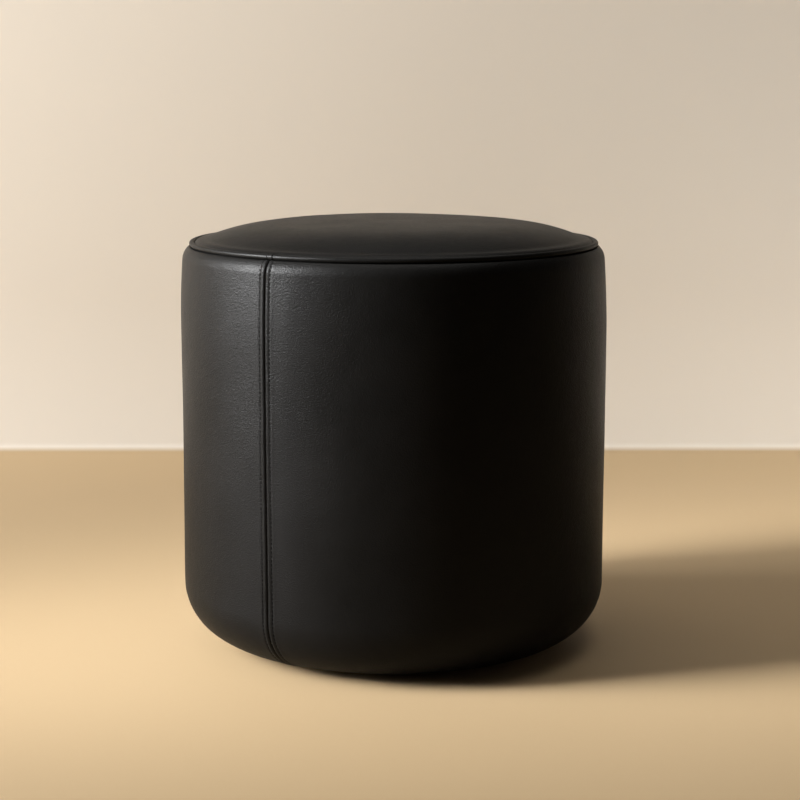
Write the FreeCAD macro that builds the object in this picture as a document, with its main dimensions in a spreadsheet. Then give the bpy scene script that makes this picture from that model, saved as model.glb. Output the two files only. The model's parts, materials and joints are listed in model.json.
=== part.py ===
"""Round upholstered leather pouf: a drum-shaped stool with a crowned seat, a welted top edge and a rounded foot.

A plywood and timber frame carries thick foam, wadding and a sewn leather cover, which is stapled under the base.
Frame: millimetres, +Z up, origin on the floor under the middle of the pouf, side seam of the cover at -Y.
"""

import math
import os

import FreeCAD
import Part
import Sketcher

doc = FreeCAD.newDocument("leather_drum_pouf")


# ---------------------------------------------------------------------------------------------------------
# Driving dimensions, one spreadsheet row each
# ---------------------------------------------------------------------------------------------------------

DRIVING = [
    ("pouf_diameter", 420, "across the leather at the middle of the side"),
    ("pouf_height", 420, "floor to the top of the crown"),
    ("crown_rise", 22, "top of the crown above the middle of the welt"),
    ("welt_inset", 11.8, "middle of the welt, in from the side of the pouf"),
    ("shoulder_height", 15, "tightly rounded shoulder below the middle of the welt"),
    ("lean_height", 90, "where the side starts to lean in, below the middle of the welt"),
    ("lean_radius", 1080, "slow curve of the side between the straight part and the shoulder"),
    ("foot_inset", 1.8, "where the foot starts to round, in from the edge of the base board"),
    ("crown_flat_share", 0.6, "share of the crown's radius that has the flatter curve"),
    ("crown_curve_radius", 2600, "flatter curve in the middle of the crown"),
    ("leather_thickness", 1.2, "upholstery hide"),
    ("wadding_thickness", 4, "polyester wadding under the hide"),
    ("side_foam_thickness", 45, "foam wrapped round the frame"),
    ("wall_thickness", 3, "flexible plywood skin of the frame"),
    ("board_thickness", 15, "plywood of both boards"),
    ("seat_foam_thickness", 50, "firm foam on the seat board"),
    ("seam_clearance", 2.5, "foam and wadding round the leather that is turned down in the welt seam"),
    ("welt_cord_diameter", 3.6, "filler cord in the welt"),
    ("welt_leather", 0.8, "thin leather round the cord"),
    ("seam_allowance", 8, "leather turned down inside the welt seam"),
    ("turn_in", 48, "leather pulled in flat under the base board"),
    ("side_seam_gap", 0.8, "groove between the two folded edges of the side seam"),
    ("side_seam_allowance", 9, "leather folded back on each side of the side seam"),
    ("seam_tape_width", 24, "backing tape behind the side seam"),
    ("seam_tape_thickness", 0.4, "backing tape"),
    ("topstitch_offset", 5.5, "each row of topstitching from the side seam"),
    ("stitch_pitch", 4, "one stitch to the next"),
    ("stitch_length", 2.9, "visible thread of one stitch"),
    ("thread_diameter", 0.6, "bonded upholstery thread"),
    ("dust_cover_thickness", 0.5, "non-woven cloth under the base"),
    ("dust_cover_inset", 7, "rim of the dust cover, in from the edge of the base board"),
    ("dust_cover_hem", 10, "rim of the dust cover folded under itself"),
    ("board_edge_round", 3, "rounded lower edge of the base board"),
    ("wall_clearance", 6, "lower edge of the wall above the underside of the base board"),
    ("upright_side", 30, "square timber upright"),
    ("upright_chamfer", 2, "broken edges of an upright"),
    ("upright_setback", 1.8, "outer face of an upright, in from the edge of the boards"),
    ("upright_count", 6, "uprights, evenly spaced"),
    ("vent_diameter", 25, "breather holes in both boards"),
    ("vent_setback", 65, "breather holes, in from the middle of the uprights"),
    ("vent_count", 4, "breather holes in each board"),
    ("screw_length", 50, "countersunk frame screw"),
    ("screw_diameter", 4.5, "shank of a frame screw"),
    ("screw_head_diameter", 8.8, "head of a frame screw"),
    ("glide_height", 5, "nylon glide, floor to dust cover"),
    ("glide_diameter", 24, "nylon glide"),
    ("glide_setback", 20, "middle of a glide, in from the rim of the dust cover"),
    ("glide_edge", 1.5, "chamfer round the foot of a glide"),
    ("glide_count", 4, "glides, evenly spaced"),
    ("glide_screw_length", 14, "glide screw, head to point"),
    ("glide_screw_diameter", 3, "shank of a glide screw"),
    ("glide_screw_head_diameter", 6, "head of a glide screw"),
    ("glide_screw_recess", 1, "head of a glide screw above the floor"),
    ("glide_hole_clearance", 0.1, "round the shank of a glide screw, in the glide"),
    ("notch_count", 20, "V cuts in the turned-in leather, which let it lie flat"),
    ("notch_width", 8, "a V cut at the inner edge of the leather"),
    ("notch_end_gap", 13, "end of a V cut, in from the start of the rounded foot"),
    ("staple_crown", 9.5, "upholstery staple"),
    ("staple_leg", 8, "upholstery staple"),
    ("staple_wire", 0.5, "thickness of the crown"),
    ("staple_width", 0.7, "width of the wire"),
    ("leather_staple_inset", 5, "staples from the inner edge of the leather"),
    ("dust_staple_inset", 4, "staples from the rim of the dust cover"),
    ("wall_staple_count", 16, "staples round each edge of the wall"),
    ("joint_gap", 1, "butt joint of the foam, the wadding and the wall"),
]

sizes = doc.addObject("Spreadsheet::Sheet", "Sizes")
for row, (alias, number, note) in enumerate(DRIVING, start=1):
    sizes.set(f"A{row}", alias)
    sizes.set(f"B{row}", str(number))
    sizes.set(f"C{row}", note)
    sizes.setAlias(f"B{row}", alias)
doc.recompute()


# ---------------------------------------------------------------------------------------------------------
# Derived dimensions: named values that follow the driving ones
# ---------------------------------------------------------------------------------------------------------

DERIVED = [
    # heights under the pouf, from the floor up
    ("hem_z", "Sizes.glide_height + Sizes.dust_cover_thickness"),
    ("cover_z", "Sizes.glide_height + 2 * Sizes.dust_cover_thickness"),
    ("board_z", "Derived.cover_z + Sizes.leather_thickness"),
    ("board_top_z", "Derived.board_z + Sizes.board_thickness"),
    # radii of the layers, from the outside in
    ("cover_r", "Sizes.pouf_diameter / 2"),
    ("wadding_r", "Derived.cover_r - Sizes.leather_thickness"),
    ("foam_r", "Derived.wadding_r - Sizes.wadding_thickness"),
    ("wall_r", "Derived.foam_r - Sizes.side_foam_thickness"),
    ("board_r", "Derived.wall_r - Sizes.wall_thickness"),
    ("padding", "Sizes.leather_thickness + Sizes.wadding_thickness"),
    # rounded foot
    ("foot_x", "Derived.board_r - Sizes.foot_inset"),
    ("foot_r", "Derived.cover_r - Derived.foot_x"),
    ("foot_z", "Derived.cover_z + Derived.foot_r"),
    ("turn_in_r", "Derived.foot_x - Sizes.turn_in"),
    ("wall_z", "Derived.board_z + Sizes.wall_clearance"),
    # welt: a cord in a thin leather tube, with a two-layer flange that hangs down into the seam
    ("welt_x", "Derived.cover_r - Sizes.welt_inset"),
    ("welt_z", "Sizes.pouf_height - Sizes.crown_rise"),
    ("cord_r", "Sizes.welt_cord_diameter / 2"),
    ("welt_r", "Derived.cord_r + Sizes.welt_leather"),
    ("flange_out_x", "Derived.welt_x + Sizes.welt_leather"),
    ("flange_in_x", "Derived.welt_x - Sizes.welt_leather"),
    ("flange_top_z", "Derived.welt_z - sqrt(Derived.welt_r ^ 2 - Sizes.welt_leather ^ 2)"),
    ("flange_z", "Derived.flange_top_z - Sizes.seam_allowance"),
    # side band: straight up from the foot, then a slow inward curve, then the shoulder up to the welt
    ("band_top_x", "Derived.welt_x + Derived.welt_r * cos(45)"),
    ("band_top_z", "Derived.welt_z - Derived.welt_r * sin(45)"),
    ("lean_z", "Derived.welt_z - Sizes.lean_height"),
    ("lean_cx", "Derived.cover_r - Sizes.lean_radius"),
    ("shoulder_z", "Derived.welt_z - Sizes.shoulder_height"),
    ("lean_sin", "(Derived.shoulder_z - Derived.lean_z) / Sizes.lean_radius"),
    ("lean_cos", "sqrt(1 - Derived.lean_sin ^ 2)"),
    ("shoulder_x", "Derived.lean_cx + Sizes.lean_radius * Derived.lean_cos"),
    ("shoulder_dx", "Derived.band_top_x - Derived.shoulder_x"),
    ("shoulder_dz", "Derived.band_top_z - Derived.shoulder_z"),
    (
        "shoulder_r",
        "-(Derived.shoulder_dx ^ 2 + Derived.shoulder_dz ^ 2)"
        " / (2 * (Derived.shoulder_dx * Derived.lean_cos + Derived.shoulder_dz * Derived.lean_sin))",
    ),
    ("shoulder_cx", "Derived.shoulder_x - Derived.shoulder_r * Derived.lean_cos"),
    ("shoulder_cz", "Derived.shoulder_z - Derived.shoulder_r * Derived.lean_sin"),
    ("band_fold_x", "Derived.flange_out_x + Sizes.leather_thickness"),
    # crown: a flat curve in the middle that runs smoothly into a tighter one, down to the inside of the welt
    ("rim_x", "Derived.welt_x - Derived.welt_r"),
    ("flat_x", "Sizes.crown_flat_share * Derived.rim_x"),
    ("flat_cz", "Sizes.pouf_height - Sizes.crown_curve_radius"),
    ("flat_sin", "Derived.flat_x / Sizes.crown_curve_radius"),
    ("flat_cos", "sqrt(1 - Derived.flat_sin ^ 2)"),
    ("flat_z", "Derived.flat_cz + Sizes.crown_curve_radius * Derived.flat_cos"),
    ("edge_dx", "Derived.rim_x - Derived.flat_x"),
    ("edge_dz", "Derived.welt_z - Derived.flat_z"),
    (
        "edge_r",
        "-(Derived.edge_dx ^ 2 + Derived.edge_dz ^ 2)"
        " / (2 * (Derived.edge_dx * Derived.flat_sin + Derived.edge_dz * Derived.flat_cos))",
    ),
    ("edge_cx", "Derived.flat_x - Derived.edge_r * Derived.flat_sin"),
    ("edge_cz", "Derived.flat_z - Derived.edge_r * Derived.flat_cos"),
    # padding of the seat
    ("fold_in_x", "Derived.flange_in_x - Sizes.leather_thickness - Sizes.thread_diameter"),
    ("crown_pad_x", "Derived.fold_in_x - Sizes.seam_clearance"),
    ("seat_foam_top_z", "Derived.flange_z - Sizes.seam_clearance"),
    ("seat_board_top_z", "Derived.seat_foam_top_z - Sizes.seat_foam_thickness"),
    ("seat_board_z", "Derived.seat_board_top_z - Sizes.board_thickness"),
    # frame
    ("upright_x", "Derived.board_r - Sizes.upright_setback - Sizes.upright_side / 2"),
    ("vent_x", "Derived.upright_x - Sizes.vent_setback"),
    # cloth under the base
    ("dust_r", "Derived.board_r - Sizes.dust_cover_inset"),
    ("hem_r", "Derived.dust_r - Sizes.dust_cover_hem"),
    ("glide_x", "Derived.dust_r - Sizes.glide_setback"),
]

derived = doc.addObject("App::VarSet", "Derived")
for name, formula in DERIVED:
    derived.addProperty("App::PropertyFloat", name, "Derived")
    derived.setExpression(name, formula)
    doc.recompute()


def size(name):
    """A number from the sheet or from the derived values."""
    holder = sizes if hasattr(sizes, name) else derived
    return float(getattr(holder, name))


def value(expression):
    """The number that an expression has now."""
    return float(derived.evalExpression(expression))


# ---------------------------------------------------------------------------------------------------------
# Sketches and bodies
# ---------------------------------------------------------------------------------------------------------

ORIGIN_POINT = (-1, 1)
VERTICAL_AXIS = -2
HORIZONTAL_AXIS = -1


def arc(radius, centre, turn):
    """The edge between two corners of an outline as an arc: turn is +1 anticlockwise, -1 clockwise."""
    return {"radius": radius, "centre": centre, "turn": turn}


def arc_between(begin, end, bend):
    """Sketch geometry of an arc that runs from begin to end round the centre of bend."""
    centre = FreeCAD.Vector(*(value(part) for part in bend["centre"]), 0)
    first, last = ((begin, end) if bend["turn"] > 0 else (end, begin))
    radius = (begin - centre).Length
    circle = Part.Circle(centre, FreeCAD.Vector(0, 0, 1), radius)
    angles = [math.atan2(p.y - centre.y, p.x - centre.x) for p in (first, last)]
    if angles[1] <= angles[0]:
        angles[1] += 2 * math.pi
    return Part.ArcOfCircle(circle, *angles)


def origin_plane(body, role):
    return next(feature for feature in body.Origin.OriginFeatures if feature.Role == role)


def new_body(label):
    body = doc.addObject("PartDesign::Body", label)
    body.Label = label
    return body


def new_sketch(body, name, plane):
    sketch = body.newObject("Sketcher::SketchObject", name)
    sketch.AttachmentSupport = [(origin_plane(body, plane), "")]
    sketch.MapMode = "FlatFace"
    return sketch


def pin_coordinate(sketch, end, kind, axis, formula):
    """Holds one coordinate of a point at a formula, or on the axis where the formula is zero."""
    if formula == "0":
        sketch.addConstraint(Sketcher.Constraint("PointOnObject", *end, axis))
        return
    place = sketch.addConstraint(Sketcher.Constraint(kind, *ORIGIN_POINT, *end, value(formula)))
    sketch.setExpression(f"Constraints[{place}]", formula)


def draw_outline(sketch, outline):
    """Draws a closed outline of (x, y) corners and arcs, fully constrained to the named sizes."""
    corners, bends = [], []
    for item in outline:
        if isinstance(item, dict):
            bends[-1] = item
        else:
            corners.append(item)
            bends.append(None)
    points = [FreeCAD.Vector(value(x), value(y), 0) for x, y in corners]
    ends = []
    for i, bend in enumerate(bends):
        begin, end = points[i], points[(i + 1) % len(points)]
        if bend is None:
            edge = sketch.addGeometry(Part.LineSegment(begin, end))
            ends.append(((edge, 1), (edge, 2)))
            continue
        edge = sketch.addGeometry(arc_between(begin, end, bend))
        ends.append(((edge, 1), (edge, 2)) if bend["turn"] > 0 else ((edge, 2), (edge, 1)))
        place = sketch.addConstraint(Sketcher.Constraint("Radius", edge, value(bend["radius"])))
        sketch.setExpression(f"Constraints[{place}]", bend["radius"])
    for i, (x, y) in enumerate(corners):
        sketch.addConstraint(Sketcher.Constraint("Coincident", *ends[i - 1][1], *ends[i][0]))
        pin_coordinate(sketch, ends[i][0], "DistanceX", VERTICAL_AXIS, x)
        pin_coordinate(sketch, ends[i][0], "DistanceY", HORIZONTAL_AXIS, y)
    return sketch


def draw_circle(sketch, x, y, radius):
    """Draws a circle, fully constrained to the named sizes."""
    centre = FreeCAD.Vector(value(x), value(y), 0)
    edge = sketch.addGeometry(Part.Circle(centre, FreeCAD.Vector(0, 0, 1), value(radius)))
    pin_coordinate(sketch, (edge, 3), "DistanceX", VERTICAL_AXIS, x)
    pin_coordinate(sketch, (edge, 3), "DistanceY", HORIZONTAL_AXIS, y)
    place = sketch.addConstraint(Sketcher.Constraint("Radius", edge, value(radius)))
    sketch.setExpression(f"Constraints[{place}]", radius)
    return sketch


def rectangle(x0, x1, y0, y1):
    return [(x0, y0), (x1, y0), (x1, y1), (x0, y1)]


def revolve(body, sketch, kind="PartDesign::Revolution"):
    """Turns a sketch all the way round the pouf's axis, as material or as a groove."""
    feature = body.newObject(kind, f"{sketch.Name}_turned")
    feature.Profile = sketch
    feature.ReferenceAxis = (sketch, ["V_Axis"])
    feature.Angle = 360
    sketch.Visibility = False
    doc.recompute()
    return feature


def revolve_arc(body, sketch, angle, kind="PartDesign::Revolution"):
    """Turns a sketch by an angle, half to each side of its own plane."""
    feature = revolve(body, sketch, kind)
    feature.Midplane = True
    feature.setExpression("Angle", angle)
    doc.recompute()
    return feature


def cut_volume(body, feature):
    """Recomputes, and checks that a cut took something away."""
    before = feature.BaseFeature.Shape.Volume
    doc.recompute()
    if body.Shape.Volume >= before:
        raise RuntimeError(f"{feature.Label} cuts nothing")
    return feature


def pocket_through(body, sketch, midplane=False, reverse=False):
    pocket = body.newObject("PartDesign::Pocket", f"{sketch.Name}_cut")
    pocket.Profile = sketch
    pocket.Type = "ThroughAll"
    pocket.Midplane = midplane
    pocket.Reversed = reverse
    sketch.Visibility = False
    return cut_volume(body, pocket)


def pattern_round(body, sketch, feature, count):
    """Repeats a feature round the axis of a sketch on the XY plane."""
    pattern = body.newObject("PartDesign::PolarPattern", f"{feature.Name}_round")
    pattern.Originals = [feature]
    pattern.Axis = (sketch, ["N_Axis"])
    pattern.Angle = 360
    pattern.setExpression("Occurrences", count)
    body.Tip = pattern
    doc.recompute()
    return pattern


def turned_body(label, outline):
    """A body of revolution about the pouf's axis."""
    body = new_body(label)
    revolve(body, draw_outline(new_sketch(body, f"{label}_section", "XZ_Plane"), outline))
    return body


def cut_joint(body, width, back=False):
    """Opens a body of revolution along one side: a gap at the front, -Y, or at the back, +Y."""
    sketch = new_sketch(body, f"{body.Name}_joint", "XZ_Plane")
    draw_outline(sketch, rectangle(f"-{width} / 2", f"{width} / 2", "0", "Sizes.pouf_height"))
    return pocket_through(body, sketch, reverse=not back)


def compound(label, shapes):
    """Identical loose pieces that share one node."""
    group = doc.addObject("Part::Feature", label)
    group.Label = label
    group.Shape = Part.makeCompound(shapes)
    return group


def drill(label, blank, *fasteners):
    """The finished piece: its blank with the space that its fasteners fill taken out."""
    tool = fasteners[0]
    if len(fasteners) > 1:
        tool = doc.addObject("Part::Compound", f"{label}_fasteners")
        tool.Links = list(fasteners)
    piece = doc.addObject("Part::Cut", f"{label}_drilled")
    piece.Base = blank
    piece.Tool = tool
    doc.recompute()
    if piece.Shape.Volume >= blank.Shape.Volume:
        raise RuntimeError(f"{label} isn't drilled")
    blank.Label = f"{label}_blank"
    piece.Label = label
    return piece


def angles_round(count, start=0.0):
    return [start + 360.0 * i / count for i in range(int(count))]


def polar(radius, angle, z):
    turn = math.radians(angle)
    return FreeCAD.Vector(radius * math.cos(turn), radius * math.sin(turn), z)


# ---------------------------------------------------------------------------------------------------------
# Fasteners
# ---------------------------------------------------------------------------------------------------------

FRONT = -90.0
UP = FreeCAD.Vector(0, 0, 1)


def countersunk_screw(length, shank, head):
    """A screw that points along +Z, with the top of its head at the origin."""
    head_depth = (head - shank) / 2
    point = shank
    body = Part.makeCone(head / 2, shank / 2, head_depth)
    body = body.fuse(Part.makeCylinder(shank / 2, length - head_depth - point, FreeCAD.Vector(0, 0, head_depth)))
    tip = Part.makeCone(shank / 2, 0, point, FreeCAD.Vector(0, 0, length - point))
    return body.fuse(tip).removeSplitter()


def staple():
    """A staple that points along +Z, with its crown along X and the outside of the crown at the origin."""
    crown, leg = size("staple_crown"), size("staple_leg")
    wire, width = size("staple_wire"), size("staple_width")
    bar = Part.makeBox(crown, width, wire, FreeCAD.Vector(-crown / 2, -width / 2, 0))
    for x in (-crown / 2, crown / 2 - wire):
        bar = bar.fuse(Part.makeBox(wire, width, leg, FreeCAD.Vector(x, -width / 2, 0)))
    return bar.removeSplitter()


def placed(shape, base, *turns):
    """A copy of a shape, turned by each (axis, angle) in order and then moved to base."""
    rotation = FreeCAD.Rotation()
    for axis, angle in turns:
        rotation = FreeCAD.Rotation(axis, angle) * rotation
    copy = shape.copy()
    copy.Placement = FreeCAD.Placement(base, rotation)
    return copy


def staple_ring(label, radius, z, angles):
    """Staples driven upwards in a ring, each with its crown along the ring."""
    shapes = [placed(staple(), polar(radius, a, z), (UP, a + 90)) for a in angles]
    return compound(label, shapes)


def frame_screws(label, z, downwards):
    """One screw through a board into the end of each upright."""
    screw = countersunk_screw(*(size(n) for n in ("screw_length", "screw_diameter", "screw_head_diameter")))
    flip = (FreeCAD.Vector(1, 0, 0), 180 if downwards else 0)
    angles = angles_round(size("upright_count"))
    return compound(label, [placed(screw, polar(size("upright_x"), a, z), flip) for a in angles])


def wall_staples():
    """Staples through the wall into the edges of both boards, sunk flush with the wall."""
    angles = angles_round(size("wall_staple_count"), FRONT + 180 / size("wall_staple_count"))
    half_crown = size("staple_crown") / 2
    flush = math.sqrt(size("wall_r") ** 2 - half_crown**2)
    heights = [
        size("wall_z") + (size("board_top_z") - size("wall_z")) / 2,
        size("seat_board_top_z") - size("board_thickness") / 2,
    ]
    shapes = []
    for z in heights:
        for a in angles:
            lie = (FreeCAD.Vector(0, 1, 0), -90)
            crown_round = (FreeCAD.Vector(1, 0, 0), 90)
            shapes.append(placed(staple(), polar(flush, a, z), lie, crown_round, (UP, a)))
    return compound("wall_staples", shapes)


base_screws = frame_screws("base_screws", size("board_z"), downwards=False)
seat_screws = frame_screws("seat_screws", size("seat_board_top_z"), downwards=True)
wall_staple_group = wall_staples()

tab_angles = angles_round(size("notch_count"), FRONT + 180 / size("notch_count"))
leather_staples = staple_ring(
    "leather_staples",
    size("turn_in_r") + size("leather_staple_inset"),
    size("cover_z") - size("staple_wire"),
    tab_angles,
)
dust_cover_staples = staple_ring(
    "dust_cover_staples",
    size("dust_r") - size("dust_staple_inset"),
    size("glide_height") - size("staple_wire"),
    tab_angles,
)

glide_angles = angles_round(size("glide_count"), 180 / size("glide_count"))
glide_screw = countersunk_screw(
    size("glide_screw_length"), size("glide_screw_diameter"), size("glide_screw_head_diameter")
)
glide_screws = compound(
    "glide_screws",
    [placed(glide_screw, polar(size("glide_x"), a, size("glide_screw_recess"))) for a in glide_angles],
)


# ---------------------------------------------------------------------------------------------------------
# Frame: two boards, uprights and a wrapped wall
# ---------------------------------------------------------------------------------------------------------


def board(label, outline):
    """A plywood disc with a ring of breather holes."""
    body = turned_body(label, outline)
    holes = new_sketch(body, f"{label}_vents", "XY_Plane")
    draw_circle(holes, "Derived.vent_x", "0", "Sizes.vent_diameter / 2")
    first = pocket_through(body, holes, midplane=True)
    pattern_round(body, holes, first, "Sizes.vent_count")
    return body


def upright_blank(number, angle):
    """A square timber post with broken edges, its outer face just inside the wall."""
    body = new_body(f"upright_{number}")
    sketch = new_sketch(body, f"upright_{number}_section", "XY_Plane")
    half = "Sizes.upright_side / 2"
    draw_outline(sketch, rectangle(f"-{half}", half, f"-{half}", half))
    pad = body.newObject("PartDesign::Pad", f"upright_{number}_length")
    pad.Profile = sketch
    pad.setExpression("Length", "Derived.seat_board_z - Derived.board_top_z")
    sketch.Visibility = False
    doc.recompute()
    corners = [
        f"Edge{i}"
        for i, edge in enumerate(pad.Shape.Edges, start=1)
        if abs(edge.tangentAt(edge.FirstParameter).z) > 0.99
    ]
    chamfer = body.newObject("PartDesign::Chamfer", f"upright_{number}_edges")
    chamfer.Base = (pad, corners)
    chamfer.setExpression("Size", "Sizes.upright_chamfer")
    body.setExpression("Placement.Base.x", f"Derived.upright_x * cos({angle})")
    body.setExpression("Placement.Base.y", f"Derived.upright_x * sin({angle})")
    body.setExpression("Placement.Base.z", "Derived.board_top_z")
    body.setExpression("Placement.Rotation.Angle", f"{angle}")
    doc.recompute()
    return body


BOARD_ROUND = ("Derived.board_r - Sizes.board_edge_round", "Derived.board_z + Sizes.board_edge_round")

base_board = board(
    "base_board",
    [
        ("0", "Derived.board_z"),
        (BOARD_ROUND[0], "Derived.board_z"),
        arc("Sizes.board_edge_round", BOARD_ROUND, +1),
        ("Derived.board_r", BOARD_ROUND[1]),
        ("Derived.board_r", "Derived.board_top_z"),
        ("0", "Derived.board_top_z"),
    ],
)
base_board = drill(
    "base_board",
    base_board,
    base_screws,
    leather_staples,
    dust_cover_staples,
    glide_screws,
    wall_staple_group,
)

seat_board = board(
    "seat_board", rectangle("0", "Derived.board_r", "Derived.seat_board_z", "Derived.seat_board_top_z")
)
seat_board = drill("seat_board", seat_board, seat_screws, wall_staple_group)

uprights = []
for number, angle in enumerate(angles_round(size("upright_count")), start=1):
    uprights.append(drill(f"upright_{number}", upright_blank(number, angle), base_screws, seat_screws))

wall_panel = turned_body(
    "wall_panel", rectangle("Derived.board_r", "Derived.wall_r", "Derived.wall_z", "Derived.seat_board_top_z")
)
cut_joint(wall_panel, "Sizes.joint_gap", back=True)
wall_panel = drill("wall_panel", wall_panel, wall_staple_group)


# ---------------------------------------------------------------------------------------------------------
# Padding: foam, then wadding
# ---------------------------------------------------------------------------------------------------------


def foot_arc(offset, turn):
    """An arc of the rounded foot, offset inwards from the leather's outer face."""
    return arc(f"Derived.foot_r - {offset}", ("Derived.foot_x", "Derived.foot_z"), turn)


def lean_arc(offset, turn):
    """An arc of the slow inward curve of the side, offset inwards from the leather's outer face."""
    return arc(f"Sizes.lean_radius - ({offset})", ("Derived.lean_cx", "Derived.lean_z"), turn)


def shoulder_arc(offset, turn):
    """An arc of the rounded shoulder, offset inwards from the leather's outer face."""
    return arc(f"Derived.shoulder_r - ({offset})", ("Derived.shoulder_cx", "Derived.shoulder_cz"), turn)


def shoulder_start(offset):
    """Where the slow curve of the side runs into the shoulder."""
    return (
        f"Derived.shoulder_x - ({offset}) * Derived.lean_cos",
        f"Derived.shoulder_z - ({offset}) * Derived.lean_sin",
    )


def foot_height(x, offset):
    """Height of the offset foot arc at a radius."""
    return f"Derived.foot_z - sqrt((Derived.foot_r - {offset}) ^ 2 - ({x} - Derived.foot_x) ^ 2)"


def lean_reach(z, offset):
    """Radius of the offset slow curve at a height."""
    return f"Derived.lean_cx + sqrt((Sizes.lean_radius - ({offset})) ^ 2 - ({z} - Derived.lean_z) ^ 2)"


def shoulder_reach(z, offset):
    """Radius of the offset shoulder arc at a height."""
    return f"Derived.shoulder_cx + sqrt((Derived.shoulder_r - ({offset})) ^ 2 - ({z} - Derived.shoulder_cz) ^ 2)"


def shoulder_height(x, offset):
    """Height of the offset shoulder arc at a radius."""
    return f"Derived.shoulder_cz + sqrt((Derived.shoulder_r - ({offset})) ^ 2 - ({x} - Derived.shoulder_cx) ^ 2)"


def crown_flat_arc(offset, turn):
    return arc(f"Sizes.crown_curve_radius - {offset}", ("0", "Derived.flat_cz"), turn)


def crown_edge_arc(offset, turn):
    return arc(f"Derived.edge_r - {offset}", ("Derived.edge_cx", "Derived.edge_cz"), turn)


def crown_flat_end(offset):
    """Where the two curves of the offset crown meet."""
    return (
        f"Derived.flat_x - {offset} * Derived.flat_sin",
        f"Derived.flat_z - {offset} * Derived.flat_cos",
    )


def crown_height(x, offset):
    """Height of the crown's offset outer curve at a radius."""
    return f"Derived.edge_cz + sqrt((Derived.edge_r - {offset}) ^ 2 - ({x} - Derived.edge_cx) ^ 2)"


HIDE = "Sizes.leather_thickness"
PADDING = "Derived.padding"

side_foam = turned_body(
    "side_foam",
    [
        ("Derived.wall_r", foot_height("Derived.wall_r", PADDING)),
        foot_arc(PADDING, +1),
        ("Derived.foam_r", "Derived.foot_z"),
        ("Derived.foam_r", "Derived.lean_z"),
        lean_arc(PADDING, +1),
        (lean_reach("Derived.seat_board_top_z", PADDING), "Derived.seat_board_top_z"),
        ("Derived.wall_r", "Derived.seat_board_top_z"),
    ],
)
cut_joint(side_foam, "Sizes.joint_gap", back=True)

seat_foam = turned_body(
    "seat_foam",
    [
        ("0", "Derived.seat_board_top_z"),
        (lean_reach("Derived.seat_board_top_z", PADDING), "Derived.seat_board_top_z"),
        lean_arc(PADDING, +1),
        shoulder_start(PADDING),
        shoulder_arc(PADDING, +1),
        (shoulder_reach("Derived.seat_foam_top_z", PADDING), "Derived.seat_foam_top_z"),
        ("0", "Derived.seat_foam_top_z"),
    ],
)

crown_foam = turned_body(
    "crown_foam",
    [
        ("0", "Derived.seat_foam_top_z"),
        ("Derived.crown_pad_x", "Derived.seat_foam_top_z"),
        ("Derived.crown_pad_x", crown_height("Derived.crown_pad_x", PADDING)),
        crown_edge_arc(PADDING, +1),
        crown_flat_end(PADDING),
        crown_flat_arc(PADDING, +1),
        ("0", "Sizes.pouf_height - Derived.padding"),
    ],
)

top_wadding = turned_body(
    "top_wadding",
    [
        ("0", "Sizes.pouf_height - Derived.padding"),
        crown_flat_arc(PADDING, -1),
        crown_flat_end(PADDING),
        crown_edge_arc(PADDING, -1),
        ("Derived.crown_pad_x", crown_height("Derived.crown_pad_x", PADDING)),
        ("Derived.crown_pad_x", crown_height("Derived.crown_pad_x", HIDE)),
        crown_edge_arc(HIDE, +1),
        crown_flat_end(HIDE),
        crown_flat_arc(HIDE, +1),
        ("0", "Sizes.pouf_height - Sizes.leather_thickness"),
    ],
)

side_wadding = turned_body(
    "side_wadding",
    [
        ("Derived.wall_r", foot_height("Derived.wall_r", HIDE)),
        foot_arc(HIDE, +1),
        ("Derived.wadding_r", "Derived.foot_z"),
        ("Derived.wadding_r", "Derived.lean_z"),
        lean_arc(HIDE, +1),
        shoulder_start(HIDE),
        shoulder_arc(HIDE, +1),
        (shoulder_reach("Derived.seat_foam_top_z", HIDE), "Derived.seat_foam_top_z"),
        (shoulder_reach("Derived.seat_foam_top_z", PADDING), "Derived.seat_foam_top_z"),
        shoulder_arc(PADDING, -1),
        shoulder_start(PADDING),
        lean_arc(PADDING, -1),
        ("Derived.foam_r", "Derived.lean_z"),
        ("Derived.foam_r", "Derived.foot_z"),
        foot_arc(PADDING, -1),
        ("Derived.wall_r", foot_height("Derived.wall_r", PADDING)),
    ],
)
cut_joint(side_wadding, "Sizes.joint_gap", back=True)


# ---------------------------------------------------------------------------------------------------------
# Side seam: folded-back edges, backing tape and the relief that they press into the wadding
# ---------------------------------------------------------------------------------------------------------


def mirrored(outline):
    """The same outline on the other side of the pouf's axis."""
    return [
        arc(item["radius"], (f"-({item['centre'][0]})", item["centre"][1]), -item["turn"])
        if isinstance(item, dict)
        else (f"-({item[0]})", item[1])
        for item in outline
    ]


def side_layer(outer, inner):
    """Section of a layer behind the side's outer face, from the foot to the shoulder, between two offsets."""
    return [
        (f"Derived.cover_r - ({outer})", "Derived.foot_z"),
        (f"Derived.cover_r - ({outer})", "Derived.lean_z"),
        lean_arc(outer, +1),
        shoulder_start(outer),
        shoulder_start(inner),
        lean_arc(inner, -1),
        (f"Derived.cover_r - ({inner})", "Derived.lean_z"),
        (f"Derived.cover_r - ({inner})", "Derived.foot_z"),
    ]


def seam_strip(body, name, outer, inner, width, kind="PartDesign::Revolution"):
    """A strip behind the side seam, as material or as a groove."""
    sketch = draw_outline(new_sketch(body, name, "YZ_Plane"), mirrored(side_layer(outer, inner)))
    return revolve_arc(body, sketch, f"({width}) / Derived.cover_r * 180 / pi", kind)


FOLD = "2 * Sizes.leather_thickness"
TAPE = f"{FOLD} + Sizes.seam_tape_thickness"

seam_tape = new_body("seam_tape")
seam_strip(seam_tape, "seam_tape_section", FOLD, TAPE, "Sizes.seam_tape_width")

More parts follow.
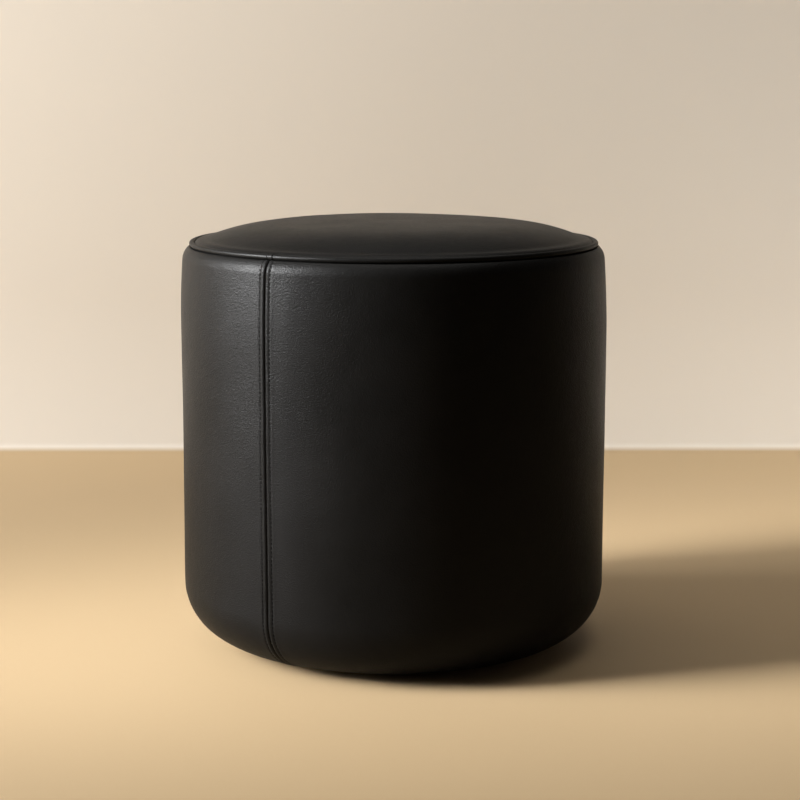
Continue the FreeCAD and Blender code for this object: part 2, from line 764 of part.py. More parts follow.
relief = seam_strip(side_wadding, "seam_relief", HIDE, TAPE, "Sizes.seam_tape_width", "PartDesign::Groove")
cut_volume(side_wadding, relief)


# ---------------------------------------------------------------------------------------------------------
# Cover: side band, top panel, welt
# ---------------------------------------------------------------------------------------------------------

WELT_CENTRE = ("Derived.welt_x", "Derived.welt_z")

side_band = turned_body(
    "side_band",
    [
        ("Derived.turn_in_r", "Derived.cover_z"),
        ("Derived.foot_x", "Derived.cover_z"),
        foot_arc("0", +1),
        ("Derived.cover_r", "Derived.foot_z"),
        ("Derived.cover_r", "Derived.lean_z"),
        lean_arc("0", +1),
        shoulder_start("0"),
        shoulder_arc("0", +1),
        ("Derived.band_top_x", "Derived.band_top_z"),
        arc("Derived.welt_r", WELT_CENTRE, -1),
        ("Derived.flange_out_x", "Derived.flange_top_z"),
        ("Derived.flange_out_x", "Derived.flange_z"),
        ("Derived.band_fold_x", "Derived.flange_z"),
        ("Derived.band_fold_x", shoulder_height("Derived.band_fold_x", HIDE)),
        shoulder_arc(HIDE, -1),
        shoulder_start(HIDE),
        lean_arc(HIDE, -1),
        ("Derived.wadding_r", "Derived.lean_z"),
        ("Derived.wadding_r", "Derived.foot_z"),
        foot_arc(HIDE, -1),
        ("Derived.foot_x", "Derived.board_z"),
        ("Derived.turn_in_r", "Derived.board_z"),
    ],
)
seam_strip(side_band, "side_band_folds", HIDE, FOLD, "2 * Sizes.side_seam_allowance")
cut_joint(side_band, "Sizes.side_seam_gap")


def cut_notches(body):
    """V cuts in the leather that is turned in under the base, the first at the side seam."""
    sketch = new_sketch(body, "notch", "XY_Plane")
    half, inner = "Sizes.notch_width / 2", "-Derived.turn_in_r"
    draw_outline(
        sketch,
        [
            (f"-{half}", inner),
            ("0", "-(Derived.foot_x - Sizes.notch_end_gap)"),
            (half, inner),
            ("0", "-(Derived.turn_in_r - Sizes.notch_width)"),
        ],
    )
    pocket = body.newObject("PartDesign::Pocket", "notch_cut")
    pocket.Profile = sketch
    pocket.Reversed = True
    pocket.setExpression("Length", "Derived.board_z + Sizes.leather_thickness")
    sketch.Visibility = False
    cut_volume(body, pocket)
    pattern_round(body, sketch, pocket, "Sizes.notch_count")


cut_notches(side_band)
side_band = drill("side_band", side_band, leather_staples, dust_cover_staples, glide_screws)

top_panel = turned_body(
    "top_panel",
    [
        ("0", "Sizes.pouf_height - Sizes.leather_thickness"),
        crown_flat_arc(HIDE, -1),
        crown_flat_end(HIDE),
        crown_edge_arc(HIDE, -1),
        (
            "Derived.rim_x - Sizes.leather_thickness * (Derived.rim_x - Derived.edge_cx) / Derived.edge_r",
            "Derived.welt_z - Sizes.leather_thickness * (Derived.welt_z - Derived.edge_cz) / Derived.edge_r",
        ),
        (
            "Derived.flange_in_x - Sizes.leather_thickness",
            "Derived.welt_z - sqrt((Derived.welt_r + Sizes.leather_thickness) ^ 2"
            " - (Sizes.welt_leather + Sizes.leather_thickness) ^ 2)",
        ),
        ("Derived.flange_in_x - Sizes.leather_thickness", "Derived.flange_z"),
        ("Derived.flange_in_x", "Derived.flange_z"),
        ("Derived.flange_in_x", "Derived.flange_top_z"),
        arc("Derived.welt_r", WELT_CENTRE, -1),
        ("Derived.rim_x", "Derived.welt_z"),
        crown_edge_arc("0", +1),
        crown_flat_end("0"),
        crown_flat_arc("0", +1),
        ("0", "Sizes.pouf_height"),
    ],
)

welt_cover = turned_body(
    "welt_cover",
    [
        ("Derived.flange_in_x", "Derived.flange_z"),
        ("Derived.flange_out_x", "Derived.flange_z"),
        ("Derived.flange_out_x", "Derived.flange_top_z"),
        arc("Derived.welt_r", WELT_CENTRE, +1),
        ("Derived.flange_in_x", "Derived.flange_top_z"),
    ],
)
bore = draw_circle(new_sketch(welt_cover, "welt_bore", "XZ_Plane"), *WELT_CENTRE, "Derived.cord_r")
cut_volume(welt_cover, revolve(welt_cover, bore, "PartDesign::Groove"))

welt_cord = new_body("welt_cord")
revolve(
    welt_cord,
    draw_circle(new_sketch(welt_cord, "welt_cord_section", "XZ_Plane"), *WELT_CENTRE, "Derived.cord_r"),
)


# ---------------------------------------------------------------------------------------------------------
# Threads
# ---------------------------------------------------------------------------------------------------------


def bend(radius, centre, begin):
    """A stretch of a section that turns anticlockwise, from an angle in radians."""

    def at(s):
        a = begin + s / radius
        return centre[0] + radius * math.cos(a), centre[1] + radius * math.sin(a), a + math.pi / 2

    return at


def band_places(depth):
    """Places a stitch apart, up the side band from foot to welt: (radius, height, heading) at a depth."""
    foot = size("foot_r") - depth
    lean = size("lean_radius") - depth
    shoulder = size("shoulder_r") - depth
    begin = math.asin(size("lean_sin"))
    sweep = math.atan2(size("band_top_z") - size("shoulder_cz"), size("band_top_x") - size("shoulder_cx")) - begin
    stretches = [
        (foot * math.pi / 2, bend(foot, (size("foot_x"), size("foot_z")), -math.pi / 2)),
        (size("lean_z") - size("foot_z"), lambda s: (size("cover_r") - depth, size("foot_z") + s, math.pi / 2)),
        (lean * begin, bend(lean, (size("lean_cx"), size("lean_z")), 0)),
        (shoulder * sweep, bend(shoulder, (size("shoulder_cx"), size("shoulder_cz")), begin)),
    ]
    pitch = size("stitch_pitch")
    places, start, s = [], 0, pitch
    for reach, at in stretches:
        while s < start + reach:
            places.append(at(s - start))
            s += pitch
        start += reach
    return places[:-1]


def topstitch_row(label, side):
    """One row of stitches on the leather beside the side seam."""
    radius, length = size("thread_diameter") / 2, size("stitch_length")
    offset = size("topstitch_offset")
    stitches = []
    for r, z, heading in band_places(0):
        along = FreeCAD.Vector(0, -math.cos(heading), math.sin(heading))
        outwards = FreeCAD.Vector(0, -math.sin(heading), -math.cos(heading))
        middle = FreeCAD.Vector(side * offset, -math.sqrt(r * r - offset * offset), z) + outwards * radius
        stitches.append(Part.makeCylinder(radius, length, middle - along * (length / 2), along))
    return compound(label, stitches)


def side_seam_stitches():
    """The thread that closes the side seam, where each stitch crosses the groove."""
    radius, gap = size("thread_diameter") / 2, size("side_seam_gap")
    return compound(
        "side_seam_thread",
        [
            Part.makeCylinder(radius, gap, FreeCAD.Vector(-gap / 2, -r, z), FreeCAD.Vector(1, 0, 0))
            for r, z, _ in band_places(size("leather_thickness") / 2)
        ],
    )


topstitch_left = topstitch_row("topstitch_left", -1)
topstitch_right = topstitch_row("topstitch_right", +1)
side_seam_thread = side_seam_stitches()

# the lockstitch of the welt seam: a thread on each side of the turned-down leather
welt_seam_thread = doc.addObject("Part::Compound", "welt_seam_thread")
rings = []
for name, place in (
    ("outer", "Derived.band_fold_x + Sizes.thread_diameter / 2"),
    ("inner", "Derived.flange_in_x - Sizes.leather_thickness - Sizes.thread_diameter / 2"),
):
    ring = doc.addObject("Part::Torus", f"welt_seam_thread_{name}")
    ring.setExpression("Radius1", place)
    ring.setExpression("Radius2", "Sizes.thread_diameter / 2")
    ring.setExpression("Placement.Base.z", "Derived.flange_z + Sizes.seam_allowance / 2")
    rings.append(ring)
welt_seam_thread.Links = rings
welt_seam_thread.Label = "welt_seam_thread"


# ---------------------------------------------------------------------------------------------------------
# Underside: dust cover and glides
# ---------------------------------------------------------------------------------------------------------

dust_cover = turned_body(
    "dust_cover",
    [
        ("0", "Sizes.glide_height"),
        ("Derived.dust_r", "Sizes.glide_height"),
        ("Derived.dust_r", "Derived.cover_z"),
        ("Derived.hem_r", "Derived.cover_z"),
        ("Derived.hem_r", "Derived.hem_z"),
        ("0", "Derived.hem_z"),
    ],
)
dust_cover = drill("dust_cover", dust_cover, dust_cover_staples, glide_screws)


def glide(number, angle):
    """A nylon disc with a chamfered foot and a countersunk hole."""
    hole = "(Sizes.glide_screw_diameter / 2 + Sizes.glide_hole_clearance)"
    head = "(Sizes.glide_screw_head_diameter / 2 + Sizes.glide_hole_clearance)"
    body = turned_body(
        f"glide_{number}",
        [
            (head, "0"),
            ("Sizes.glide_diameter / 2 - Sizes.glide_edge", "0"),
            ("Sizes.glide_diameter / 2", "Sizes.glide_edge"),
            ("Sizes.glide_diameter / 2", "Sizes.glide_height"),
            (hole, "Sizes.glide_height"),
            (hole, f"Sizes.glide_screw_recess + {head} - {hole}"),
            (head, "Sizes.glide_screw_recess"),
        ],
    )
    body.setExpression("Placement.Base.x", f"Derived.glide_x * cos({angle})")
    body.setExpression("Placement.Base.y", f"Derived.glide_x * sin({angle})")
    return body


glides = [glide(number, angle) for number, angle in enumerate(glide_angles, start=1)]
doc.recompute()


# ---------------------------------------------------------------------------------------------------------
# Check every object, then write one STEP file for each node
# ---------------------------------------------------------------------------------------------------------

NODES = [
    base_board,
    seat_board,
    *uprights,
    wall_panel,
    base_screws,
    seat_screws,
    wall_staple_group,
    side_foam,
    seat_foam,
    crown_foam,
    side_wadding,
    top_wadding,
    seam_tape,
    side_band,
    top_panel,
    welt_cover,
    welt_cord,
    topstitch_left,
    topstitch_right,
    welt_seam_thread,
    side_seam_thread,
    leather_staples,
    dust_cover,
    dust_cover_staples,
    *glides,
    glide_screws,
]

for item in doc.Objects:
    if any(word in item.State for word in ("Invalid", "Error")):
        raise RuntimeError(f"{item.Label} failed: {item.State}")

for node in NODES:
    if node.Shape.isNull() or not node.Shape.isValid() or not node.Shape.Solids:
        raise RuntimeError(f"{node.Label} has no valid solid")

os.makedirs("parts", exist_ok=True)
for node in NODES:
    node.Shape.exportStep(f"parts/{node.Label}.step")
    volume = sum(solid.Volume for solid in node.Shape.Solids)
    print(f"{node.Label}: {len(node.Shape.Solids)} solids, {volume / 1000:.2f} cm3")
print(f"{len(NODES)} nodes")
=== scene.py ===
# %% [markdown]
# # A round leather pouf
#
# The pouf is a drum of foam on a plywood frame, covered in near-black leather.
# The cover has three parts: a band round the side, a crowned panel on the seat,
# and a welt, which is a cord in a thin leather tube, along the seam between them.
# The band is closed by one upright seam with a row of stitches on each side.
#
# The frame below is the measured model. Each soft part is modelled again here,
# in its place, with the folds, seams and wrinkles that a plain solid lacks.

# %% Load the measured model
import json
import math

import bmesh
import bpy
from mathutils import Matrix, Vector, noise


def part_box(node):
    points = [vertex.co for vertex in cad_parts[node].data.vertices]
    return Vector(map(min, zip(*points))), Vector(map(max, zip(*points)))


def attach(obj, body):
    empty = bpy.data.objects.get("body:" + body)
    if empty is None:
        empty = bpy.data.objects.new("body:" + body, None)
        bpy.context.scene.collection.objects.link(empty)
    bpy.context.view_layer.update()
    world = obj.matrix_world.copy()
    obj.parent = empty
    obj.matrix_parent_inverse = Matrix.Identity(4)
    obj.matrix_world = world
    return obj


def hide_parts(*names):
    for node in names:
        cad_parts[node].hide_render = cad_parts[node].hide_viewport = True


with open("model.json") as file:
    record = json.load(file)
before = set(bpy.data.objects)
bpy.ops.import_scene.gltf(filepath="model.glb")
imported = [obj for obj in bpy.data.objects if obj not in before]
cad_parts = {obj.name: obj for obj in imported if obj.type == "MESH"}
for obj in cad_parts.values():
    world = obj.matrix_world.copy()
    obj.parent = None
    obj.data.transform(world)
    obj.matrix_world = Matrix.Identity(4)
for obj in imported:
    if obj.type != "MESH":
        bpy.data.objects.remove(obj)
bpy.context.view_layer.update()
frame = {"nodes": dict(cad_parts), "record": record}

# %% [markdown]
# ## Sizes
#
# Every length is in metres, and small ones read better in millimetres, so mm is
# the factor for those. Where a part of the model is there to be asked, its box
# gives the size, so a new piece follows it.

# %% Sizes of the cover
mm = 0.001

band_low, band_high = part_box("side_band")
side_r = band_high.x
under_z = band_low.z
crown_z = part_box("top_panel")[1].z
seam_low_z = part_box("welt_cover")[0].z
board_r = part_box("base_board")[1].x

hide = 1.2 * mm
wadding = 4 * mm
wall_skin = 3 * mm
welt_r = 2.6 * mm
cord_low, cord_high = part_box("welt_cord")
cord_r = (cord_high.z - cord_low.z) / 2
welt_x = cord_high.x - cord_r
welt_z = cord_high.z - cord_r
turned_in_r = 107 * mm

foot_inset = 1.8 * mm
foot_x = board_r - foot_inset
foot_r = side_r - foot_x
foot_z = under_z + foot_r
print(f"side radius {side_r:.4f}, welt at {welt_x:.4f}, {welt_z:.4f}, foot radius {foot_r:.4f}")

# %% [markdown]
# ## Drawing a section
#
# Nearly everything on this pouf is turned, like a pot: a section is drawn once
# in the XZ plane and spun round the Z axis. The section starts as one vertex.
# Extruding a vertex draws a straight line, and spinning it round a point draws
# an arc, so a section is drawn in the same order as a pen would draw it.

# %% A pen for sections


class Pen:
    """Draws a section in the XZ plane, from a first vertex, in steps of a given length."""

    def __init__(self, x, z):
        self.bm = bmesh.new()
        self.first = self.tip = self.bm.verts.new((x, 0, z))

    def line(self, x, z, step):
        way = Vector((x, 0, z)) - self.tip.co
        count = max(1, round(way.length / step))
        for _ in range(count):
            made = bmesh.ops.extrude_vert_indiv(self.bm, verts=[self.tip])
            self.tip = made["verts"][0]
            bmesh.ops.translate(self.bm, verts=[self.tip], vec=way / count)
        return self

    def arc(self, cx, cz, turn, step):
        """Turns round (cx, cz) by an angle in radians, anticlockwise if it is positive."""
        radius = (self.tip.co - Vector((cx, 0, cz))).length
        made = bmesh.ops.spin(
            self.bm,
            geom=[self.tip],
            cent=(cx, 0, cz),
            axis=(0, -1, 0),
            angle=turn,
            steps=max(2, round(abs(turn) * radius / step)),
        )
        self.tip = next(item for item in made["geom_last"] if isinstance(item, bmesh.types.BMVert))
        return self

    def close(self, step):
        """Draws back to the first vertex and joins the ends."""
        self.line(self.first.co.x, self.first.co.z, step)
        bmesh.ops.remove_doubles(self.bm, verts=self.bm.verts, dist=0.02 * mm)
        return self.bm


# %% [markdown]
# ## Turning a section
#
# One even spin would give the whole pouf the fine steps that only the seam
# needs. So the spin is done in sectors: short steps across the seam, which lies
# at -Y, and long ones round the rest. The last sector meets the first, where
# the doubled vertices are merged and the faces turned to point outwards.

# %% Spin in sectors
FRONT = math.radians(-90)


def turn_round(bm, sectors):
    """Spins a section round the Z axis through (angle, steps) sectors, the first centred on the seam."""
    start = FRONT - sectors[0][0] / 2
    bmesh.ops.rotate(bm, verts=bm.verts, cent=(0, 0, 0), matrix=Matrix.Rotation(start, 3, "Z"))
    last = [*bm.verts, *bm.edges]
    for angle, steps in sectors:
        made = bmesh.ops.spin(bm, geom=last, cent=(0, 0, 0), axis=(0, 0, 1), angle=angle, steps=steps)
        last = made["geom_last"]
    bmesh.ops.remove_doubles(bm, verts=bm.verts, dist=0.01 * mm)
    bmesh.ops.recalc_face_normals(bm, faces=bm.faces)
    return bm


def sectors_for(radius, seam_zone, beside, rest_steps):
    """Sectors from (width, steps) zones: one across the seam, others on both sides of it, and the rest."""
    middle, *side = [(width / radius, steps) for width, steps in (seam_zone, *beside)]
    used = middle[0] + 2 * sum(angle for angle, _ in side)
    return [middle, *side, (2 * math.pi - used, rest_steps), *reversed(side)]


# %% [markdown]
# ## Moving vertices like a sculptor
#
# Leather isn't a perfect drum. A move function gives each vertex a distance
# along its own normal: a low swell over the whole piece, a groove at the seam,
# a ripple at the stitches. The moves are worked out first and made together, so
# that none of them changes the normals that the others use.

# %% Move along the normal


def push(bm, distance):
    """Moves each vertex along its normal by distance(vertex)."""
    bm.normal_update()
    moves = [(v, v.normal * distance(v)) for v in bm.verts]
    for v, move in moves:
        v.co += move
    bm.normal_update()
    return bm


def rise(x, low, high):
    """Runs smoothly from 0 at low to 1 at high."""
    t = min(1, max(0, (x - low) / (high - low)))
    return t * t * (3 - 2 * t)


def bell(x, middle, width):
    """A smooth bump with a height of 1."""
    return math.exp(-(((x - middle) / width) ** 2))


def swell(place, size, seed=0):
    """A slow, uneven height from -1 to 1, whose hills are about size across."""
    return noise.noise(place / size + Vector((seed, 3.1 * seed, 7.7 * seed)))


def across_seam(place):
    """Distance from the side seam, along the surface; it is positive to the right of the seam."""
    return math.atan2(place.x, -place.y) * math.hypot(place.x, place.y)


# %% [markdown]
# ## From mesh to piece
#
# A finished piece is an object at the origin with smooth shading, one material,
# and the body that it rides on. It also hides the plain solid that it stands for.

# %% Make a piece
materials = {}


def make_piece(name, bm, slot, node):
    """Makes an object that takes the place of a measured node; its finish is named like its slot."""
    mesh = bpy.data.meshes.new(name)
    bm.to_mesh(mesh)
    bm.free()
    mesh.shade_smooth()
    mesh.materials.append(materials[slot])
    piece = bpy.data.objects.new(name, mesh)
    bpy.context.scene.collection.objects.link(piece)
    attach(piece, "root")
    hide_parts(node)
    print(f"{name}: {len(mesh.vertices)} vertices, {len(mesh.polygons)} faces")
    return piece


# %% [markdown]
# ## Node shorthand
#
# A material is a chain of nodes that ends in a Principled shader. These helpers
# add a node, set its plain values and wire its inputs, so that each finish below
# reads as a short recipe. Patterns read Object coordinates, in metres, so their
# scale is real: a scale of 700 gives cells of about 1.4 mm.

# %% Nodes


class Finish:
    """A material under construction: its node tree, its shader and its object coordinates."""

    def __init__(self, name, color, roughness, **plain):
        self.material = bpy.data.materials.new(name)
        self.material.use_nodes = True
        self.tree = self.material.node_tree
        self.shader = self.tree.nodes["Principled BSDF"]
        self.place = self.add("TexCoord").outputs["Object"]
        self.set("Base Color", (*color, 1))
        self.set("Roughness", roughness)
        for socket, value in plain.items():
            self.set(socket.replace("_", " "), value)
        materials[name] = self.material

    def add(self, kind, inputs=None, **settings):
        node = self.tree.nodes.new(f"ShaderNode{kind}")
        for key, value in settings.items():
            setattr(node, key, value)
        for key, value in (inputs or {}).items():
            if isinstance(value, bpy.types.NodeSocket):
                self.tree.links.new(value, node.inputs[key])
            else:
                node.inputs[key].default_value = value
        return node

    def set(self, socket, value):
        if isinstance(value, bpy.types.NodeSocket):
            self.tree.links.new(value, self.shader.inputs[socket])
        else:
            self.shader.inputs[socket].default_value = value

    def stretched(self, scale):
        """The object coordinates, stretched by a factor on each axis."""
        return self.add("Mapping", {"Vector": self.place, "Scale": scale}).outputs["Vector"]

    def noise(self, scale, detail=4.0, roughness=0.55, place=None):
        inputs = {"Vector": place or self.place, "Scale": scale, "Detail": detail, "Roughness": roughness}
        return self.add("TexNoise", inputs).outputs["Fac"]

    def cells(self, scale, feature="F1", place=None):
        inputs = {"Vector": place or self.place, "Scale": scale}
        return self.add("TexVoronoi", inputs, feature=feature).outputs["Distance"]

    def waves(self, scale, distortion=0.0, direction="X", detail_scale=1.0, place=None):
        inputs = {
            "Vector": place or self.place,
            "Scale": scale,
            "Distortion": distortion,
            "Detail Scale": detail_scale,
        }
        return self.add("TexWave", inputs, bands_direction=direction).outputs["Fac"]

    def between(self, factor, low, high):
        """Maps a factor from 0..1 to low..high."""
        node = self.add("MapRange", {"Value": factor, "To Min": low, "To Max": high})
        return node.outputs["Result"]

    def ramp(self, factor, *stops):
        """Colours at places along a factor: (place, (r, g, b))."""
        node = self.add("ValToRGB", {"Fac": factor})
        elements = node.color_ramp.elements
        while len(elements) < len(stops):
            elements.new(0.5)
        for element, (where, color) in zip(elements, stops):
            element.position = where
            element.color = (*color, 1)
        return node.outputs["Color"]

    def mix(self, factor, low, high):
        node = self.add("Mix", data_type="RGBA")
        for socket, value in (("Factor_Float", factor), ("A_Color", low), ("B_Color", high)):
            end = next(i for i in node.inputs if i.identifier == socket)
            if isinstance(value, bpy.types.NodeSocket):
                self.tree.links.new(value, end)
            else:
                end.default_value = value if isinstance(value, float) else (*value, 1)
        return next(o for o in node.outputs if o.identifier == "Result_Color")

    def bump(self, *layers):
        """Relief from (height, depth in metres, strength) layers, coarse ones first."""
        normal = None
        for height, depth, strength in layers:
            inputs = {"Height": height, "Distance": depth, "Strength": strength}
            if normal:
                inputs["Normal"] = normal
            normal = self.add("Bump", inputs).outputs["Normal"]
        self.set("Normal", normal)


# %% [markdown]
# ## Leather
#
# This is a corrected-grain hide: pigment near to black, a satin top coat and a
# fine pebble grain. The grain is small rounded cells with creases between them.
# Voronoi cells, bent by a little noise so that they don't look like a net, give
# the pebbles, and wider cells give the creases, so that the two never line up.
# A finer noise gives the pores, and a slow one makes the shine uneven, as
# handling does. The welt's hide is pared thin, so its grain is shallower.

# %% Leather finish


def leather(name, grain=900.0, depth=0.06, roughness=0.40):
    finish = Finish(name, (0.0050, 0.0047, 0.0043), roughness, IOR=1.5, Specular_IOR_Level=0.12)
    wander = finish.add(
        "TexNoise", {"Vector": finish.place, "Scale": 260.0, "Detail": 2.0}
    ).outputs["Color"]
    bent = finish.add(
        "VectorMath",
        {0: wander, 1: (0.0016, 0.0016, 0.0016), 2: finish.place},
        operation="MULTIPLY_ADD",
    ).outputs["Vector"]
    pebbles = finish.cells(grain, "SMOOTH_F1", bent)
    creases = finish.between(finish.cells(grain * 0.62, "DISTANCE_TO_EDGE", bent), 0.0, 1.0)
    pores = finish.noise(3200.0, 3.0)
    soft = finish.noise(70.0, 3.0)
    finish.bump(
        (soft, 1.2 * mm, 0.22),
        (creases, depth * 2 * mm, 0.8),
        (pebbles, depth * 4 * mm, 1.0),
        (pores, 0.06 * mm, 0.6),
    )
    worn = finish.noise(16.0, 5.0, 0.6)
    fine = finish.noise(450.0, 2.0)
    shine = finish.add("Math", {0: worn, 1: fine}, operation="ADD").outputs["Value"]
    uneven = {
        "Value": shine,
        "From Min": 0.6,
        "From Max": 1.4,
        "To Min": roughness - 0.06,
        "To Max": roughness + 0.07,
    }
    finish.set("Roughness", finish.add("MapRange", uneven).outputs["Result"])
    black = finish.ramp(worn, (0.3, (0.0042, 0.0040, 0.0037)), (0.7, (0.0058, 0.0054, 0.0050)))
    finish.set("Base Color", black)
    return finish.material


leather("hide")
leather("welt_hide", depth=0.035, roughness=0.42)
print("finishes:", sorted(materials))

# %% [markdown]
# ## Fasteners, threads and cloth
#
# Thread is a soft, dull black fibre; its twist is a fine wave. Non-woven
# dust cloth is a felt of pressed fibres with a faint grid of weld points. Zinc
# plating is a bright, slightly blue metal with a cloudy shine, and nylon glides
# come from a mould with a fine spark-eroded texture.

# %% Thread, cloth, steel and nylon


def make_thread():
    finish = Finish("thread", (0.0015, 0.0014, 0.0013), 0.85, Specular_IOR_Level=0.03)
    twist = finish.waves(1500.0, 1.5, "DIAGONAL")
    finish.bump((twist, 0.06 * mm, 0.6), (finish.noise(5200.0, 2.0), 0.02 * mm, 0.5))
    finish.set("Roughness", finish.between(finish.noise(900.0, 2.0), 0.75, 0.95))


def make_dust_cloth():
    finish = Finish("dust_cloth", (0.02, 0.02, 0.021), 0.9, Sheen_Weight=0.3, Sheen_Roughness=0.6)
    fibres = finish.noise(900.0, 8.0, 0.75)
    welds = finish.cells(420.0)
    finish.bump((fibres, 0.12 * mm, 0.7), (welds, 0.08 * mm, 0.5))
    black = finish.ramp(fibres, (0.35, (0.012, 0.012, 0.013)), (0.65, (0.034, 0.034, 0.036)))
    finish.set("Base Color", black)


def make_zinc():
    finish = Finish("zinc_steel", (0.62, 0.63, 0.66), 0.32, Metallic=1.0)
    clouds = finish.noise(180.0, 5.0)
    finish.set("Base Color", finish.ramp(clouds, (0.3, (0.50, 0.52, 0.56)), (0.7, (0.72, 0.72, 0.73))))
    finish.set("Roughness", finish.between(finish.noise(600.0, 4.0), 0.24, 0.46))
    finish.bump((finish.noise(1500.0, 3.0), 0.02 * mm, 0.3))


def make_nylon():
    finish = Finish("nylon", (0.022, 0.022, 0.023), 0.5)
    spark = finish.noise(2600.0, 4.0)
    finish.set("Roughness", finish.between(finish.noise(120.0, 4.0), 0.42, 0.62))
    finish.bump((finish.noise(90.0, 2.0), 0.1 * mm, 0.15), (spark, 0.03 * mm, 0.5))


make_thread()
make_dust_cloth()
make_zinc()
make_nylon()

# %% [markdown]
# ## Wood
#
# Birch plywood shows its layers on the edge and long, faint figure on the face.
# The layers come from the height: a wave along Z has one value on a flat face, so
# the face stays plain and only the edge is striped. The uprights are planed
# softwood, whose growth rings run along the length.

# %% Plywood and timber


def make_plywood():
    finish = Finish("plywood", (0.62, 0.48, 0.31), 0.6)
    figure = finish.noise(14.0, 6.0, 0.6, finish.stretched((1.0, 9.0, 9.0)))
    plies = finish.waves(105.0, 0.4, "Z")
    face = finish.ramp(figure, (0.3, (0.46, 0.33, 0.19)), (0.7, (0.64, 0.49, 0.32)))
    layered = finish.mix(finish.between(plies, 0.0, 0.55), face, (0.27, 0.17, 0.09))
    finish.set("Base Color", layered)
    finish.set("Roughness", finish.between(figure, 0.5, 0.72))
    finish.bump((finish.noise(160.0, 6.0, 0.7, finish.stretched((1.0, 12.0, 12.0))), 0.15 * mm, 0.5))


def make_timber():
    finish = Finish("timber", (0.66, 0.50, 0.32), 0.62)
    along = finish.stretched((1.0, 1.0, 0.04))
    rings = finish.waves(95.0, 6.0, "X", 1.4, along)
    finish.set("Base Color", finish.ramp(rings, (0.2, (0.72, 0.57, 0.37)), (0.85, (0.47, 0.30, 0.15))))
    finish.set("Roughness", finish.between(rings, 0.52, 0.7))
    finish.bump((rings, 0.12 * mm, 0.4), (finish.noise(420.0, 4.0, 0.6, along), 0.06 * mm, 0.5))


make_plywood()
make_timber()

# %% [markdown]
# ## Padding
#
# Upholstery foam is cream, matt and full of tiny open cells. Wadding is a white,
# springy mat of polyester fibre. The filler cord is twisted, and the backing tape
# has a plain weave.

# %% Foam, wadding, cord and tape


def make_foam():
    finish = Finish("foam", (0.80, 0.73, 0.54), 0.95)
    pores = finish.cells(950.0)
    finish.set("Base Color", finish.ramp(pores, (0.05, (0.52, 0.45, 0.30)), (0.45, (0.84, 0.77, 0.58))))
    finish.bump((finish.noise(60.0, 3.0), 0.4 * mm, 0.3), (pores, 0.35 * mm, 0.8))


def make_wadding():
    finish = Finish("wadding", (0.86, 0.86, 0.84), 0.98, Sheen_Weight=0.4, Sheen_Roughness=0.7)
    fibres = finish.noise(260.0, 9.0, 0.8)
    finish.set("Base Color", finish.ramp(fibres, (0.3, (0.68, 0.68, 0.66)), (0.6, (0.90, 0.90, 0.88))))
    finish.bump((finish.noise(35.0, 4.0), 1.2 * mm, 0.4), (fibres, 0.5 * mm, 0.7))


def make_cord():
    finish = Finish("cord", (0.78, 0.75, 0.66), 0.85)
    twist = finish.waves(420.0, 0.8, "DIAGONAL")
    finish.set("Base Color", finish.ramp(twist, (0.2, (0.55, 0.51, 0.42)), (0.8, (0.84, 0.81, 0.72))))
    finish.bump((twist, 0.35 * mm, 0.8), (finish.noise(2200.0, 3.0), 0.05 * mm, 0.5))


def make_tape():
    finish = Finish("tape", (0.74, 0.71, 0.62), 0.9)
    warp = finish.waves(900.0, 0.3, "X")
    weft = finish.waves(900.0, 0.3, "Z")
    weave = finish.add("Math", {0: warp, 1: weft}, operation="MULTIPLY").outputs["Value"]
    finish.set("Base Color", finish.ramp(weave, (0.1, (0.50, 0.47, 0.39)), (0.7, (0.80, 0.77, 0.69))))
    finish.bump((weave, 0.12 * mm, 0.8))


make_foam()
make_wadding()
make_cord()
make_tape()

# %% [markdown]
# ## The side band
#
# One strip of leather goes round the drum. From the bottom, it starts flat under
# the base, rounds the foot, goes straight up, leans in very slowly, and then
# turns in at the shoulder. At the top it folds down into the welt seam. Below
# that seam the fold leaves a narrow, dark valley beside the welt.
#
# The lean and the shoulder are two arcs that meet without a corner: both centres
# lie on one line through the point where they meet.

# %% Section of the side band
lean_r = 1080 * mm
lean_z = welt_z - 90 * mm
lean_cx = side_r - lean_r
shoulder_z = welt_z - 15 * mm
lean_turn = math.asin((shoulder_z - lean_z) / lean_r)
shoulder_start = Vector((lean_cx + lean_r * math.cos(lean_turn), shoulder_z))
outwards = Vector((math.cos(lean_turn), math.sin(lean_turn)))
under_welt = Vector((welt_x, welt_z)) + welt_r * Vector((math.cos(math.pi / 4), -math.sin(math.pi / 4)))
chord = under_welt - shoulder_start
shoulder_r = -chord.length_squared / (2 * chord.dot(outwards))
shoulder_c = shoulder_start - shoulder_r * outwards

fold_r = 1.6 * mm
fold_x = welt_x + 0.9 * mm + fold_r
fold_turn = math.acos((fold_x - shoulder_c.x) / (shoulder_r - fold_r))
fold_z = shoulder_c.y + (shoulder_r - fold_r) * math.sin(fold_turn)
print(f"shoulder radius {shoulder_r / mm:.1f} mm, fold at {fold_x / mm:.1f}, {fold_z / mm:.1f}")


def draw_outer_face(pen, fine):
    """The band's outer face, from its edge under the base to the bottom of the welt seam."""
    pen.line(foot_x, under_z, 3 * fine)
    pen.arc(foot_x, foot_z, math.pi / 2, fine)
    pen.line(side_r, lean_z, fine)
    pen.arc(lean_cx, lean_z, lean_turn, fine)
    pen.arc(shoulder_c.x, shoulder_c.y, fold_turn - lean_turn, 0.8 * fine)
    pen.arc(fold_x, fold_z, math.pi - fold_turn, 0.5 * fine)
    return pen.line(fold_x - fold_r, seam_low_z, fine)


